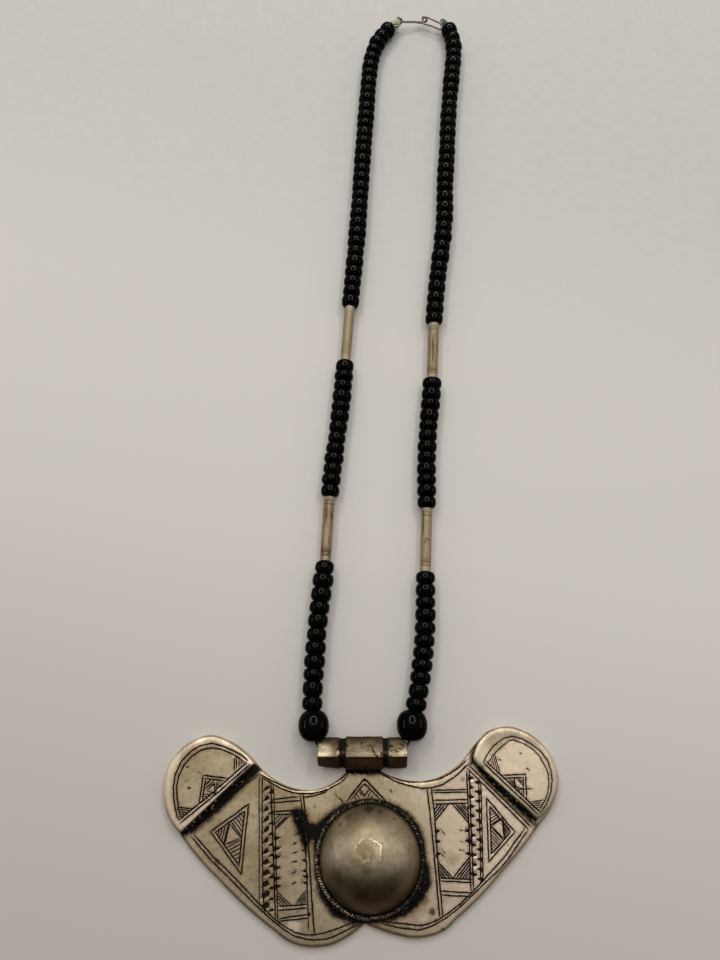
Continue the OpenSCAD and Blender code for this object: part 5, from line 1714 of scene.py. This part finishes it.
# A window stands beyond the clasp, high up. Its lit frame is what the beads reflect, with two narrow windows low
# down at the sides. All are turned from overhead about one place. Places and sizes are in metres: half the frame's
# width and height, and how long each bar is. The frame's uprights lean by some degrees.
BEYOND = Matrix.Rotation(math.radians(-28), 3, "X")
LEFT = Matrix.Rotation(math.radians(-68), 3, "Y")
RIGHT = Matrix.Rotation(math.radians(68), 3, "Y")
WINDOW_MIDDLE = Vector((0, 0.12, 0))
FRAME_HALF_W = 0.3
FRAME_HALF_H = 0.33
FRAME_LEAN = 9
UPRIGHT = 0.52
TOP_BAR = 0.38
FOOT_BAR = 0.5
SIDE_BAR = 0.5
SIDE_FURTHER = 0.1
# The foot of the frame and the window on the right are dimmer than their like.
FOOT_DIM = 0.4
RIGHT_DIM = 0.8


def light_bar(name, turn, place, lean, wide, high, power, only=None):
    """A lit strip in a plane that faces down and is turned from overhead. In that plane it leans by some degrees. It
    may light one collection only."""
    light = bpy.data.lights.new(name, "AREA")
    light.shape = "RECTANGLE"
    light.size, light.size_y = wide, high
    light.energy = power
    bar = put(name, light)
    bar.location = WINDOW_MIDDLE + turn @ Vector(place)
    bar.rotation_euler = (turn @ Matrix.Rotation(math.radians(lean), 3, "Z")).to_euler()
    if only:
        bar.light_linking.receiver_collection = only


beads = bpy.data.collections.new("glass_beads")
for name in ("small_beads_left", "small_beads_right", "large_bead_by_bail_left", "large_bead_by_bail_right"):
    beads.objects.link(bpy.data.objects[name])
# In the beads the frame shows as brightly as it should only with lights of their own: for the silver that would be
# too much. Each row says what the lights are called, what they light, how far off the window is, how wide its bars
# are, and the power of its bars and of the side windows.
WINDOWS = [("", None, 0.8, 0.03, 1.1, 0.25), ("glint_", beads, 0.78, 0.065, 3.9, 1.2)]
for name, only, far, bar, power, aside in WINDOWS:
    beside = (0, 0, far + SIDE_FURTHER)
    light_bar(name + "window_left", BEYOND, (-FRAME_HALF_W, 0, far), -FRAME_LEAN, bar, UPRIGHT, power, only)
    light_bar(name + "window_right", BEYOND, (FRAME_HALF_W, 0, far), FRAME_LEAN, bar, UPRIGHT, power, only)
    light_bar(name + "window_top", BEYOND, (0, FRAME_HALF_H, far), 0, TOP_BAR, bar, power, only)
    light_bar(name + "window_foot", BEYOND, (0, -FRAME_HALF_H, far), 0, FOOT_BAR, bar, power * FOOT_DIM, only)
    light_bar(name + "side_window_left", LEFT, beside, 0, bar, SIDE_BAR, aside, only)
    light_bar(name + "side_window_right", RIGHT, beside, 0, bar, SIDE_BAR, aside * RIGHT_DIM, only)

world = bpy.data.worlds.new("room")
world.use_nodes = True
room = world.node_tree
room.nodes.clear()
around = add(room, "ShaderNodeTexCoord", out="Generated")
# The room is bright overhead and towards the window, and dark low down and at the pendant's end.
lean = add(room, "ShaderNodeVectorMath", {0: around, 1: (0.06, 1, 0)}, "Value", operation="DOT_PRODUCT")
lean = add(room, "ShaderNodeMapRange", {0: lean, 1: -0.64, 2: 0.34}, **SMOOTH)
rise = add(room, "ShaderNodeSeparateXYZ", {0: around}, "Z")
rise = add(room, "ShaderNodeMapRange", {0: rise, 1: 0.0, 2: 0.85, 3: 0.28, 4: 1.0})
lit = add(room, "ShaderNodeMath", {0: lean, 1: rise}, operation="MULTIPLY")
tone = add(room, "ShaderNodeMix", {0: lit, 6: linear("#342f2a"), 7: linear("#fffcf8")}, **COLOUR)
glow = add(room, "ShaderNodeBackground", {"Color": tone, "Strength": 0.93})
add(room, "ShaderNodeOutputWorld", {"Surface": glow}, None)
bpy.context.scene.world = world
bpy.context.scene.view_settings.view_transform = "Standard"
